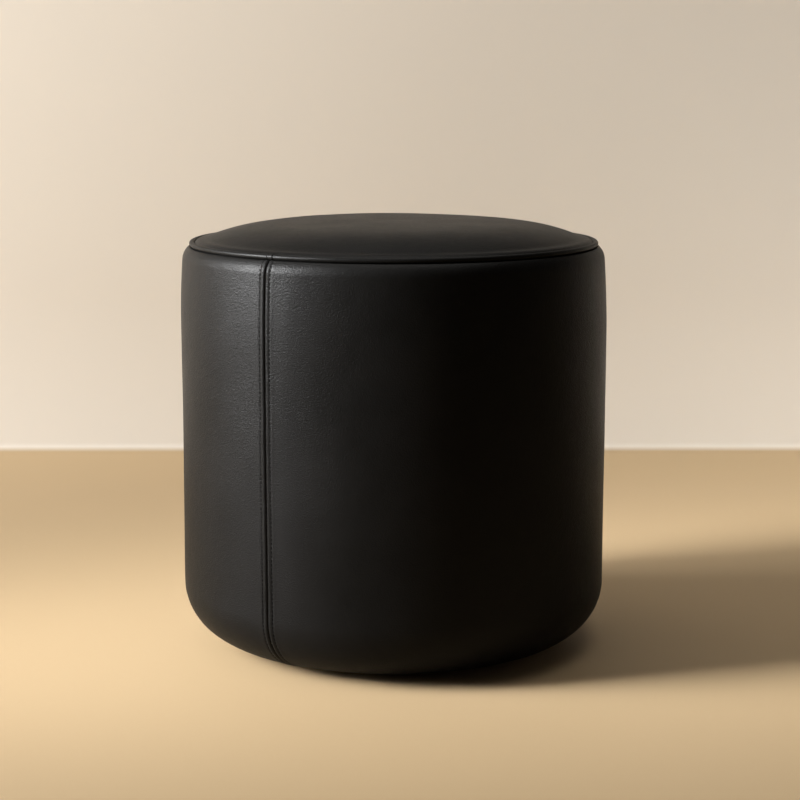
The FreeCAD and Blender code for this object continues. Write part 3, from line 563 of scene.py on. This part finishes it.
def draw_inner_face(pen, coarse):
    """The same way back, one thickness of leather further in."""
    pen.line(fold_x - fold_r + hide, seam_low_z, coarse)
    pen.line(fold_x - fold_r + hide, fold_z, coarse)
    pen.arc(fold_x, fold_z, fold_turn - math.pi, 0.4 * mm)
    pen.arc(shoulder_c.x, shoulder_c.y, lean_turn - fold_turn, 2 * mm)
    pen.arc(lean_cx, lean_z, -lean_turn, coarse)
    pen.line(side_r - hide, foot_z, coarse)
    pen.arc(foot_x, foot_z, -math.pi / 2, coarse)
    pen.line(turned_in_r, under_z + hide, coarse)
    return pen.close(hide)


fine_step = 1 * mm
pen = draw_outer_face(Pen(turned_in_r, under_z), fine_step)
outer_line = [v.co.copy() for v in pen.bm.verts]
section = draw_inner_face(pen, 8 * mm)
print(f"band section: {len(outer_line)} points outside, {len(section.verts)} in all")

# %% [markdown]
# ## Distance along the band
#
# The stitches are a fixed distance apart along the leather, round the foot and
# over the shoulder alike. So each vertex of the section is told how far along
# the outer face it lies before the section is spun, in a vertex layer that the
# spin copies. The inner face keeps a value below zero, which tells it apart.

# %% Measure along the section
along_layer = section.verts.layers.float.new("along")
reach = [0.0]
for here, there in zip(outer_line, outer_line[1:]):
    reach.append(reach[-1] + (there - here).length)

for v in section.verts:
    v[along_layer] = -1.0
section.verts.ensure_lookup_table()
for index, distance in enumerate(reach):
    section.verts[index][along_layer] = distance

flat_reach = foot_x - turned_in_r
seam_reach = reach[-1] - (fold_z - seam_low_z) - fold_r * (math.pi - fold_turn)
print(f"the band is {reach[-1] / mm:.0f} mm along its outer face")

# %% [markdown]
# ## Turning the band, then shaping it
#
# Behind the seam each edge of the leather is folded back and glued, so beside
# the groove the band is twice as thick and stands up in two soft ridges. The
# stitches pull a narrow channel into the leather, and between two stitches it
# stands up again in a small bridge. Under the base the leather gathers in small
# pleats, because it has to get round a smaller circle.

# %% Shape of the seam
stitch_pitch = 4 * mm
row_offset = 5.5 * mm
roll_half = 2.1 * mm


def stitch_gap(along):
    """1 on the bit of leather between two stitches, 0 along the middle of a stitch."""
    return (0.5 - 0.5 * math.cos(2 * math.pi * along / stitch_pitch)) ** 2


def seam_height(side, along):
    """Height of the leather beside the seam, side and along in metres."""
    a = abs(side)
    uneven = 1 + 0.25 * noise.noise(Vector((along / 0.021, 4.0 if side > 0 else 9.0, 0)))
    roll = math.sqrt(max(0, roll_half**2 - max(0, roll_half - a) ** 2)) - roll_half
    ridge = 0.50 * mm * uneven * bell(a, 2.8 * mm, 1.7 * mm)
    channel = -0.45 * mm * (1 - 1.2 * stitch_gap(along)) * bell(a, row_offset, 0.6 * mm)
    swelling = 0.18 * mm * uneven * bell(a, 8.0 * mm, 2.1 * mm)
    groove_depth = 0.8
    return groove_depth * roll + ridge + channel + swelling


def pleats(place):
    """Small gathers that fade out up the rounded foot."""
    angle = math.atan2(place.y, place.x)
    r = math.hypot(place.x, place.y)
    fade = rise(r, foot_x - 30 * mm, foot_x - 4 * mm) * (1 - rise(r, foot_x + 2 * mm, foot_x + 24 * mm))
    low = 1 - rise(place.z, under_z, under_z + 9 * mm)
    folds = math.sin(58 * angle + 5 * noise.noise(Vector((6 * math.cos(angle), 6 * math.sin(angle), 0))))
    return 0.35 * mm * fade * low * folds


def band_height(v):
    """How far each vertex of the band moves along its normal."""
    along = v[along_layer]
    side = across_seam(v.co)
    if along < 0:
        above_base = rise(v.co.z, under_z + 2 * mm, under_z + 8 * mm)
        below_fold = 1 - rise(v.co.z, fold_z - 2 * mm, fold_z)
        return hide * (above_base * below_fold) * (1 - rise(abs(side), 8.4 * mm, 9.2 * mm))
    still = rise(along, 0, 20 * mm) * (1 - rise(along, seam_reach - 6 * mm, seam_reach + 2 * mm))
    waves = 0.55 * mm * swell(v.co, 0.15) + 0.22 * mm * swell(v.co, 0.055, 2)
    height = still * waves + pleats(v.co)
    if abs(side) < 14 * mm:
        open_end = rise(along, 8 * mm, 16 * mm) * (1 - rise(along, seam_reach, seam_reach + 4 * mm))
        height += seam_height(side, along) * open_end
    return height


band = turn_round(
    section,
    sectors_for(side_r, (13.2 * mm, 44), [(6 * mm, 10), (16 * mm, 6)], 104),
)
push(band, band_height)
side_leather = make_piece("side_leather", band, "hide", "side_band")

# %% [markdown]
# ## Stitches
#
# A lockstitch shows as a row of short threads. Each one comes up through a hole,
# lies on the leather and goes down at the next hole, so it is a slightly arched
# bit of thread. One stitch is made by spinning a small circle through a short
# arc. It is then copied along both rows, and turned to follow the leather.

# %% One stitch
thread_r = 0.42 * mm
stitch_long = 2.5 * mm


def one_stitch():
    """A thread that arches along Z, with its outer side towards +X."""
    dip = 0.42 * mm
    arch_r = (stitch_long**2 / 4 + dip**2) / (2 * dip)
    half_turn = math.asin(stitch_long / 2 / arch_r)
    bm = bmesh.new()
    ring = bmesh.ops.create_circle(bm, cap_ends=True, segments=8, radius=thread_r)
    tilt = Matrix.Rotation(-half_turn, 3, "Y").inverted()
    bmesh.ops.rotate(bm, verts=ring["verts"], cent=(0, 0, 0), matrix=tilt)
    low_end = Vector((arch_r * math.cos(half_turn) - arch_r, 0, -arch_r * math.sin(half_turn)))
    bmesh.ops.translate(bm, verts=ring["verts"], vec=low_end)
    bmesh.ops.spin(
        bm,
        geom=[*bm.faces, *bm.edges, *bm.verts],
        cent=(-arch_r, 0, 0),
        axis=(0, -1, 0),
        angle=2 * half_turn,
        steps=6,
    )
    bmesh.ops.recalc_face_normals(bm, faces=bm.faces)
    mesh = bpy.data.meshes.new("one_stitch")
    bm.to_mesh(mesh)
    bm.free()
    return mesh


stitch = one_stitch()
print(f"one stitch: {len(stitch.polygons)} faces")

# %% [markdown]
# ## Rows of stitches
#
# Each place along the band's outer line gives a height, a radius and a heading.
# A matrix made of three directions, along, outwards and sideways, turns the copy
# into its place. The angle round the pouf puts the row beside the seam.

# %% Copy the stitch along the rows


def place_on_band(along):
    """(place, heading) on the outer line, in the XZ plane, at a distance along it."""
    for i, distance in enumerate(reach[1:], start=1):
        if distance >= along:
            begin, end = outer_line[i - 1], outer_line[i]
            share = (along - reach[i - 1]) / (distance - reach[i - 1])
            return begin.lerp(end, share), (end - begin).normalized()
    return outer_line[-1], (outer_line[-1] - outer_line[-2]).normalized()


def stitch_frame(side, along, wobble):
    """The matrix that puts a stitch on the band."""
    spot, heading = place_on_band(along)
    outward = Vector((heading.z, 0, -heading.x))
    sideways = outward.cross(heading)
    spot = spot + outward * (seam_height(side, along) + 0.16 * mm)
    turn = Matrix.Rotation(FRONT + side / spot.x, 4, "Z")
    lean = Matrix.Rotation(wobble, 4, "X")
    basis = Matrix((outward, -sideways, heading)).transposed().to_4x4()
    return turn @ Matrix.Translation(spot) @ basis @ lean


def stitch_row(name, side, node):
    """A row of stitches from the start of the rounded foot to just under the welt."""
    bm = bmesh.new()
    end_gap = 4 * mm
    count = int((seam_reach - flat_reach - end_gap) / stitch_pitch)
    first = math.ceil(flat_reach / stitch_pitch)
    for k in range(first, first + count):
        before = len(bm.verts)
        bm.from_mesh(stitch)
        bm.verts.ensure_lookup_table()
        wobble = math.radians(3.0) + 0.03 * noise.noise(Vector((k * 0.7, side / mm, 0)))
        place = stitch_frame(side, k * stitch_pitch, wobble)
        bmesh.ops.transform(bm, matrix=place, verts=bm.verts[before:])
    bmesh.ops.recalc_face_normals(bm, faces=bm.faces)
    make_piece(name, bm, "thread", node)


stitch_row("stitches_left", -row_offset, "topstitch_left")
stitch_row("stitches_right", row_offset, "topstitch_right")

# %% [markdown]
# ## The seat panel
#
# The seat is one disc of leather over a domed foam pad. Foam pulled down at its
# rim is nearly flat in the middle and falls faster towards the edge, so the
# section has two arcs again: a large one, then a tighter one. At the rim the
# leather rolls down beside the welt and on into the seam.

# %% Section of the seat panel
flat_r = 2600 * mm
rim_x = welt_x - welt_r
flat_x = 0.6 * rim_x
flat_cz = crown_z - flat_r
flat_turn = math.asin(flat_x / flat_r)
flat_end = Vector((flat_x, flat_cz + flat_r * math.cos(flat_turn)))
upwards = Vector((math.sin(flat_turn), math.cos(flat_turn)))
edge_chord = Vector((rim_x, welt_z)) - flat_end
edge_r = -edge_chord.length_squared / (2 * edge_chord.dot(upwards))
edge_c = flat_end - edge_r * upwards

roll_r = 1.6 * mm
roll_x = rim_x - 0.15 * mm - roll_r
roll_angle = math.acos((roll_x - edge_c.x) / (edge_r - roll_r))
roll_z = edge_c.y + (edge_r - roll_r) * math.sin(roll_angle)
tail_x = welt_x - 0.85 * mm
print(f"edge radius {edge_r / mm:.0f} mm, the leather rolls down at {roll_x / mm:.1f}, {roll_z / mm:.1f}")


def seat_section(step):
    """A closed section: the grain side outwards and down into the seam, the flesh side back."""
    pen = Pen(0, crown_z)
    pen.arc(0, flat_cz, -flat_turn, step)
    pen.arc(edge_c.x, edge_c.y, roll_angle - math.pi / 2 + flat_turn, 0.6 * step)
    pen.arc(roll_x, roll_z, -roll_angle, 0.3 * mm)
    pen.line(roll_x + roll_r, roll_z - 2.2 * mm, mm)
    pen.line(tail_x, roll_z - 4 * mm, mm)
    pen.line(tail_x, seam_low_z, 2 * mm)
    pen.line(tail_x - hide, seam_low_z, hide)
    pen.line(tail_x - hide, roll_z - 4.4 * mm, 2 * mm)
    pen.line(roll_x + roll_r - hide, roll_z - 2.4 * mm, mm)
    pen.line(roll_x + roll_r - hide, roll_z, mm)
    pen.arc(roll_x, roll_z, roll_angle, 0.3 * mm)
    pen.arc(edge_c.x, edge_c.y, math.pi / 2 - flat_turn - roll_angle, 3 * step)
    pen.arc(0, flat_cz, flat_turn, 3 * step)
    return pen.bm


# %% [markdown]
# ## Shaping the seat
#
# The foam under the leather is never quite even, so the crown gets a low swell.
# Near the rim the leather rolls over the turned-in edge of the seam, so it stands
# up a little beside the welt, with short, shallow gathers. Every move is scaled by
# how far the face looks up, so that the part inside the seam stays still.

# %% Turn and shape the seat


def seat_height(v):
    """How far each vertex of the seat panel moves along its normal."""
    r = math.hypot(v.co.x, v.co.y)
    angle = math.atan2(v.co.y, v.co.x)
    free = 1 - rise(r, rim_x - 20 * mm, rim_x - 3 * mm)
    waves = 0.7 * mm * swell(v.co, 0.13, 5) + 0.3 * mm * swell(v.co, 0.05, 6)
    near_rim = bell(r, rim_x - 7 * mm, 5 * mm)
    gathers = 0.12 * mm * near_rim * noise.noise(Vector((30 * math.cos(angle), 30 * math.sin(angle), 2)))
    rolled_edge = 1.9 * mm * bell(r, rim_x - 4.5 * mm, 4.5 * mm)
    return v.normal.z * (free * waves + gathers + rolled_edge)


seat = turn_round(seat_section(4 * mm), [(2 * math.pi, 180)])
push(seat, seat_height)
seat_leather = make_piece("seat_leather", seat, "hide", "top_panel")

# %% [markdown]
# ## The welt
#
# A welt is a cord wrapped in a strip of thin leather. The strip is longer than
# the seam, so its two ends overlap: one end is folded in and laps the other, just
# above the side seam. That lap is a short, slightly thicker sleeve with a crease
# at each end. Round the rest, the wrapped leather has tiny cross wrinkles.

# %% Welt section and shape
tail_half = 0.8 * mm
lap_half = 2.75 * mm


def welt_section(step):
    """A teardrop: round outside, with a flat tail that goes down into the seam."""
    neck = math.asin(tail_half / welt_r)
    neck_z = welt_z - welt_r * math.cos(neck)
    pen = Pen(welt_x - tail_half, seam_low_z)
    pen.line(welt_x + tail_half, seam_low_z, tail_half)
    pen.line(welt_x + tail_half, neck_z, 2 * mm)
    pen.arc(welt_x, welt_z, 2 * math.pi - 2 * neck, step)
    return pen.close(2 * mm)


def welt_height(v):
    """How far each vertex of the welt moves along its normal."""
    if v.co.z < welt_z - welt_r:
        return 0
    side = across_seam(v.co)
    angle = math.atan2(v.co.y, v.co.x)
    wrinkle = noise.noise(Vector((150 * math.cos(angle), 150 * math.sin(angle), v.co.z / (2 * mm))))
    slow = noise.noise(Vector((9 * math.cos(angle), 9 * math.sin(angle), 5)))
    lap = 0.34 * mm * (1 - rise(abs(side), lap_half - 0.25 * mm, lap_half))
    crease = -0.5 * mm * bell(abs(side), lap_half + 0.3 * mm, 0.32 * mm)
    return 0.05 * mm * wrinkle + 0.10 * mm * slow + lap + crease


welt_sectors = sectors_for(welt_x, (8 * mm, 40), [(6 * mm, 6)], 350)
welt = turn_round(welt_section(0.75 * mm), welt_sectors)
push(welt, welt_height)
make_piece("welt", welt, "welt_hide", "welt_cover")

# %% [markdown]
# ## Padding inside the cover
#
# The foam and wadding are cut with a knife and glued, so their sections are
# simple and their edges a little soft. They can't be seen, but they are the
# pouf's body, so each one is turned from its own section. An offset from the
# leather's outer face places every layer.

# %% Layers behind the leather
padding = hide + wadding
wall_r = board_r + wall_skin
soft_steps = 96


def side_curve(pen, offset, high_z, step):
    """Draws along the side up to high_z, at an offset behind its outer face."""
    pen.line(side_r - offset, lean_z, step)
    top = min(high_z, shoulder_z - offset * math.sin(lean_turn))
    pen.arc(lean_cx, lean_z, math.asin((top - lean_z) / (lean_r - offset)), step)
    if high_z > top:
        begin = math.asin((pen.tip.co.z - shoulder_c.y) / (shoulder_r - offset))
        end = math.asin((high_z - shoulder_c.y) / (shoulder_r - offset))
        pen.arc(shoulder_c.x, shoulder_c.y, end - begin, 0.3 * step)
    return pen


def foot_start(offset, x):
    """Angle on the rounded foot, at an offset behind its outer face, where it passes the radius x."""
    return -math.acos((x - foot_x) / (foot_r - offset))


def side_foam_section():
    start = foot_start(padding, wall_r)
    pen = Pen(wall_r, foot_z + (foot_r - padding) * math.sin(start))
    pen.arc(foot_x, foot_z, -start, 8 * mm)
    side_curve(pen, padding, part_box("side_foam")[1].z, 20 * mm)
    pen.line(wall_r + 0.3 * mm, pen.tip.co.z, 12 * mm)
    return pen.close(20 * mm)


foam = turn_round(side_foam_section(), [(2 * math.pi, soft_steps)])
piece = make_piece("side_padding", foam, "foam", "side_foam")

# %% [markdown]
# ## Foam of the seat
#
# A firm disc carries the weight, and a domed pad on it gives the crown. The disc
# follows the shoulder, and the pad stops short of the seam, which needs room.

# %% Seat foam and crown foam
foam_low, foam_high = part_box("seat_foam")
pad_low, pad_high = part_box("crown_foam")
pad_x = pad_high.x


def seat_foam_section():
    reach_x = lean_cx + math.sqrt((lean_r - padding) ** 2 - (foam_low.z - lean_z) ** 2)
    pen = Pen(0, foam_low.z)
    pen.line(reach_x, foam_low.z, 20 * mm)
    begin = math.asin((foam_low.z - lean_z) / (lean_r - padding))
    pen.arc(lean_cx, lean_z, lean_turn - begin, 10 * mm)
    rest = math.asin((foam_high.z - shoulder_c.y) / (shoulder_r - padding)) - lean_turn
    pen.arc(shoulder_c.x, shoulder_c.y, rest, 2 * mm)
    pen.line(0, foam_high.z, 20 * mm)
    return pen.bm


def crown_line(pen, offset, step):
    """Draws the crown's curve from the pad's rim to the axis, at an offset under the leather."""
    begin = math.acos((pad_x - edge_c.x) / (edge_r - offset))
    pen.arc(edge_c.x, edge_c.y, math.pi / 2 - flat_turn - begin, step)
    return pen.arc(0, flat_cz, flat_turn, step)


def crown_at_rim(offset):
    return edge_c.y + math.sqrt((edge_r - offset) ** 2 - (pad_x - edge_c.x) ** 2)


def crown_foam_section():
    pen = Pen(0, pad_low.z)
    pen.line(pad_x, pad_low.z, 20 * mm)
    pen.line(pad_x, crown_at_rim(padding), 4 * mm)
    return crown_line(pen, padding, 12 * mm).bm


for name, section, node in (
    ("seat_padding", seat_foam_section(), "seat_foam"),
    ("crown_padding", crown_foam_section(), "crown_foam"),
):
    foam = turn_round(section, [(2 * math.pi, soft_steps)])
    make_piece(name, foam, "foam", node)

# %% [markdown]
# ## Wadding
#
# Wadding evens out the foam and lets the leather slide on it. It is one blanket
# round the side and one disc on the crown. Behind the side seam it is pressed
# in by the folded leather and the backing tape.

# %% Side wadding and top wadding
squeezed = 2 * hide + 0.5 * mm


def side_wadding_section():
    start = foot_start(hide, wall_r)
    top_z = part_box("side_wadding")[1].z
    pen = Pen(wall_r, foot_z + (foot_r - hide) * math.sin(start))
    pen.arc(foot_x, foot_z, -start, 8 * mm)
    side_curve(pen, hide, top_z, 16 * mm)
    inner = math.asin((top_z - shoulder_c.y) / (shoulder_r - padding))
    pen.line(shoulder_c.x + (shoulder_r - padding) * math.cos(inner), top_z, 2 * mm)
    pen.arc(shoulder_c.x, shoulder_c.y, lean_turn - inner, 5 * mm)
    pen.arc(lean_cx, lean_z, -lean_turn, 16 * mm)
    pen.line(side_r - padding, foot_z, 16 * mm)
    back = foot_start(padding, wall_r)
    pen.arc(foot_x, foot_z, back, 8 * mm)
    return pen.close(2 * mm)


def press_behind_seam(v):
    """The outer face of the wadding gives way behind the seam."""
    depth = side_r - math.hypot(v.co.x, v.co.y)
    straight = rise(v.co.z, under_z + 8 * mm, foot_z) * (1 - rise(v.co.z, shoulder_z, shoulder_z + 6 * mm))
    outside = v.normal.x * v.co.x + v.normal.y * v.co.y > 0 and depth < padding
    near = 1 - rise(abs(across_seam(v.co)), 12.2 * mm, 13.4 * mm)
    return -(squeezed - hide) * straight * near if outside else 0


wadding_sectors = sectors_for(side_r, (30 * mm, 24), [(20 * mm, 4)], soft_steps)
blanket = turn_round(side_wadding_section(), wadding_sectors)
push(blanket, press_behind_seam)
piece = make_piece("side_blanket", blanket, "wadding", "side_wadding")


def top_wadding_section():
    pen = Pen(0, crown_z - hide)
    pen.arc(0, flat_cz, -flat_turn, 12 * mm)
    end = math.acos((pad_x - edge_c.x) / (edge_r - hide))
    pen.arc(edge_c.x, edge_c.y, end - math.pi / 2 + flat_turn, 12 * mm)
    pen.line(pad_x, crown_at_rim(padding), 2 * mm)
    return crown_line(pen, padding, 12 * mm).bm


cap = turn_round(top_wadding_section(), [(2 * math.pi, soft_steps)])
make_piece("top_blanket", cap, "wadding", "top_wadding")

# %% [markdown]
# ## The dust cover
#
# A disc of black non-woven cloth hides the inside of the base. Its rim is folded
# under by a centimetre and stapled. Thin cloth between staples pulls into short
# wrinkles that run in from the rim, and it hangs a little lower in the middle.

# %% Dust cover
cloth_low, cloth_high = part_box("dust_cover")
cloth_r = cloth_high.x
cloth = 0.5 * mm
hem = 10 * mm
staple_count = 20


def dust_section(step):
    """The cloth's lower face out to the rim, the fold, the hem, and its upper face back."""
    rim = cloth_r - cloth
    pen = Pen(0, cloth_low.z)
    pen.line(rim - hem, cloth_low.z, step)
    pen.line(rim, cloth_low.z, 0.4 * step)
    pen.arc(rim, cloth_low.z + cloth, math.pi, 0.3 * mm)
    pen.line(rim - hem, cloth_high.z, 0.4 * step)
    pen.arc(rim - hem, cloth_low.z + 1.5 * cloth, math.pi, 0.2 * mm)
    return pen.line(0, cloth_low.z + cloth, step).bm


def cloth_move(co):
    """Sag and wrinkles, which move both faces of the cloth the same way."""
    r = math.hypot(co.x, co.y)
    angle = math.atan2(co.y, co.x)
    held = math.cos(staple_count / 2 * (angle - FRONT - math.pi / staple_count)) ** 2
    sag = -1.1 * mm * (1 - (r / cloth_r) ** 2)
    pull = bell(r, cloth_r - 16 * mm, 12 * mm) * (1 - 0.6 * held)
    wrinkle = 0.45 * mm * pull * math.sin(3.5 * staple_count * angle + 6 * noise.noise(co / 0.05))
    loose = 0.35 * mm * noise.noise(Vector((co.x, co.y, 0)) / 0.045) * (1 - rise(r, 0.7 * cloth_r, cloth_r))
    return Vector((0, 0, sag + wrinkle + loose))


dust = turn_round(dust_section(5 * mm), [(2 * math.pi, 240)])
for v in dust.verts:
    v.co += cloth_move(v.co)
dust_piece = make_piece("dust_cloth", dust, "dust_cloth", "dust_cover")

# %% [markdown]
# ## Finishes of the measured parts
#
# The boards, uprights, screws, staples and glides already have their true shape,
# so they keep it and only get a finish. The slot that the record names for each
# part is also the name of its finish.

# %% Give every measured part its finish
finish_of = {row["node"]: row["material_slot"] for row in frame["record"]["subparts"]}
for node, part in frame["nodes"].items():
    part.data.materials.clear()
    part.data.materials.append(materials[finish_of[node]])
print(len(finish_of), "parts finished")

# %% [markdown]
# ## Floor and backdrop
#
# The pouf stands on a wood-coloured floor in front of a pale wall, which meets
# the floor in a very tight curve where the colour changes. Black leather shows
# little of itself and much of its room, so the warm tone of both can be seen
# along its top and its edges. The stage's reflections are painted: a Light Path
# node gives glossy rays a darker copy of the stage's colour, so the stage is darker
# in the leather's reflections than it is itself. This painted reflection stands in
# for the darker things a real room holds. The stage is one-sided: from behind or
# below it is clear, so the pouf can be seen from every side.

# %% Stage


def make_stage():
    far, near, wide, bend = 0.955, 6.0, 6.0, 0.015
    pen = Pen(near, 0)
    pen.line(-far + bend, 0, 0.25)
    pen.arc(-far + bend, bend, -math.pi / 2, 0.01)
    pen.line(-far, 0.9, 0.2)
    bm = pen.bm
    made = bmesh.ops.extrude_edge_only(bm, edges=bm.edges)
    fresh = [item for item in made["geom"] if isinstance(item, bmesh.types.BMVert)]
    bmesh.ops.translate(bm, verts=fresh, vec=(0, 2 * wide, 0))
    bmesh.ops.translate(bm, verts=bm.verts, vec=(0, -wide, 0))
    bmesh.ops.rotate(
        bm, verts=bm.verts, cent=(0, 0, 0), matrix=Matrix.Rotation(camera_azimuth + FRONT, 3, "Z")
    )
    mesh = bpy.data.meshes.new("stage")
    bm.to_mesh(mesh)
    bm.free()
    mesh.shade_smooth()
    stage = bpy.data.objects.new("stage", mesh)
    bpy.context.scene.collection.objects.link(stage)
    finish = Finish("stage", (0.53, 0.39, 0.235), 0.65, Specular_IOR_Level=0.3)
    height = finish.add("SeparateXYZ", {"Vector": finish.place}).outputs["Z"]
    at_corner = {"Value": height, "From Min": 0.003, "From Max": 0.010}
    up_wall = finish.add("MapRange", at_corner).outputs["Result"]
    seen = finish.mix(up_wall, (0.50, 0.36, 0.205), (0.86, 0.79, 0.69))
    # painted reflection: a darker copy of the floor and wall colours, which only glossy rays see
    painted_reflection_color = finish.mix(up_wall, (0.25, 0.18, 0.10), (0.70, 0.64, 0.56))
    in_sheen = finish.add("LightPath").outputs["Is Glossy Ray"]
    finish.set("Base Color", finish.mix(in_sheen, seen, painted_reflection_color))
    finish.bump((finish.noise(40.0, 4.0), 0.3 * mm, 0.2))
    behind = finish.add("NewGeometry").outputs["Backfacing"]
    clear = finish.add("BsdfTransparent").outputs["BSDF"]
    one_sided = finish.add("MixShader", {"Fac": behind, 1: finish.shader.outputs["BSDF"], 2: clear})
    output = finish.tree.nodes["Material Output"]
    finish.tree.links.new(one_sided.outputs["Shader"], output.inputs["Surface"])
    mesh.materials.append(finish.material)


camera_azimuth = math.radians(34.0)
make_stage()

# %% [markdown]
# ## Camera
#
# The pouf is seen from slightly above, from far enough away that its sides look
# nearly parallel. The seam is a little more than 30 degrees left of the front.

# %% Camera


def make_camera():
    data = bpy.data.cameras.new("camera")
    data.lens = 89.8
    data.sensor_width = 36
    data.clip_end = 50
    camera = bpy.data.objects.new("camera", data)
    distance, height, aim, pan = 1.967, 0.569, math.radians(9.51), math.radians(0.18)
    turn = Matrix.Rotation(camera_azimuth, 4, "Z")
    camera.location = turn @ Vector((0, -distance, height))
    camera.rotation_euler = (math.pi / 2 - aim, 0, camera_azimuth - pan)
    bpy.context.scene.collection.objects.link(camera)
    bpy.context.scene.camera = camera


make_camera()

# %% [markdown]
# ## Light
#
# One large soft light stands to the left and a little in front, like a tall
# window. It makes the broad sheen beside the seam and leaves the right side dark.
# A smaller softbox with a grid, which narrows its beam, adds a brighter core to
# that sheen. A wide, weaker light overhead brightens the floor and the wall. The
# air of the room is nearly dark for the lighting and pale for the camera, because
# above the wall it is the background.

# %% Lights


def area_light(name, azimuth, height, distance, size, power, color, aim_z=0.3, spread=180):
    """A soft rectangle that faces the pouf; azimuth is counted from the camera, positive to the right."""
    data = bpy.data.lights.new(name, "AREA")
    data.shape = "RECTANGLE"
    data.size, data.size_y = size
    data.energy = power
    data.color = color
    data.spread = math.radians(spread)
    light = bpy.data.objects.new(name, data)
    around = camera_azimuth + math.radians(azimuth)
    place = Vector((math.sin(around) * distance, -math.cos(around) * distance, height))
    light.location = place
    light.rotation_mode = "QUATERNION"
    light.rotation_quaternion = (place - Vector((0, 0, aim_z))).to_track_quat("Z", "Y")
    bpy.context.scene.collection.objects.link(light)


area_light("window", -80, 1.75, 3.0, (1.5, 2.6), 155, (0.98, 0.99, 1.0))
area_light("grid softbox", -74, 0.90, 1.45, (0.5, 0.95), 8.0, (0.98, 0.99, 1.0), aim_z=0.40, spread=42)
area_light("ceiling", 180, 2.8, 0.1, (2.6, 1.8), 21, (1.0, 0.97, 0.92))

world = bpy.data.worlds.new("room")
world.use_nodes = True
background = world.node_tree.nodes["Background"]
background.inputs["Color"].default_value = (1.0, 0.93, 0.84, 1)
sight = world.node_tree.nodes.new("ShaderNodeLightPath")
level = world.node_tree.nodes.new("ShaderNodeMapRange")
level.inputs["To Min"].default_value = 0.045
level.inputs["To Max"].default_value = 0.6
world.node_tree.links.new(sight.outputs["Is Camera Ray"], level.inputs["Value"])
world.node_tree.links.new(level.outputs["Result"], background.inputs["Strength"])
bpy.context.scene.world = world
bpy.context.scene.view_settings.view_transform = "Standard"
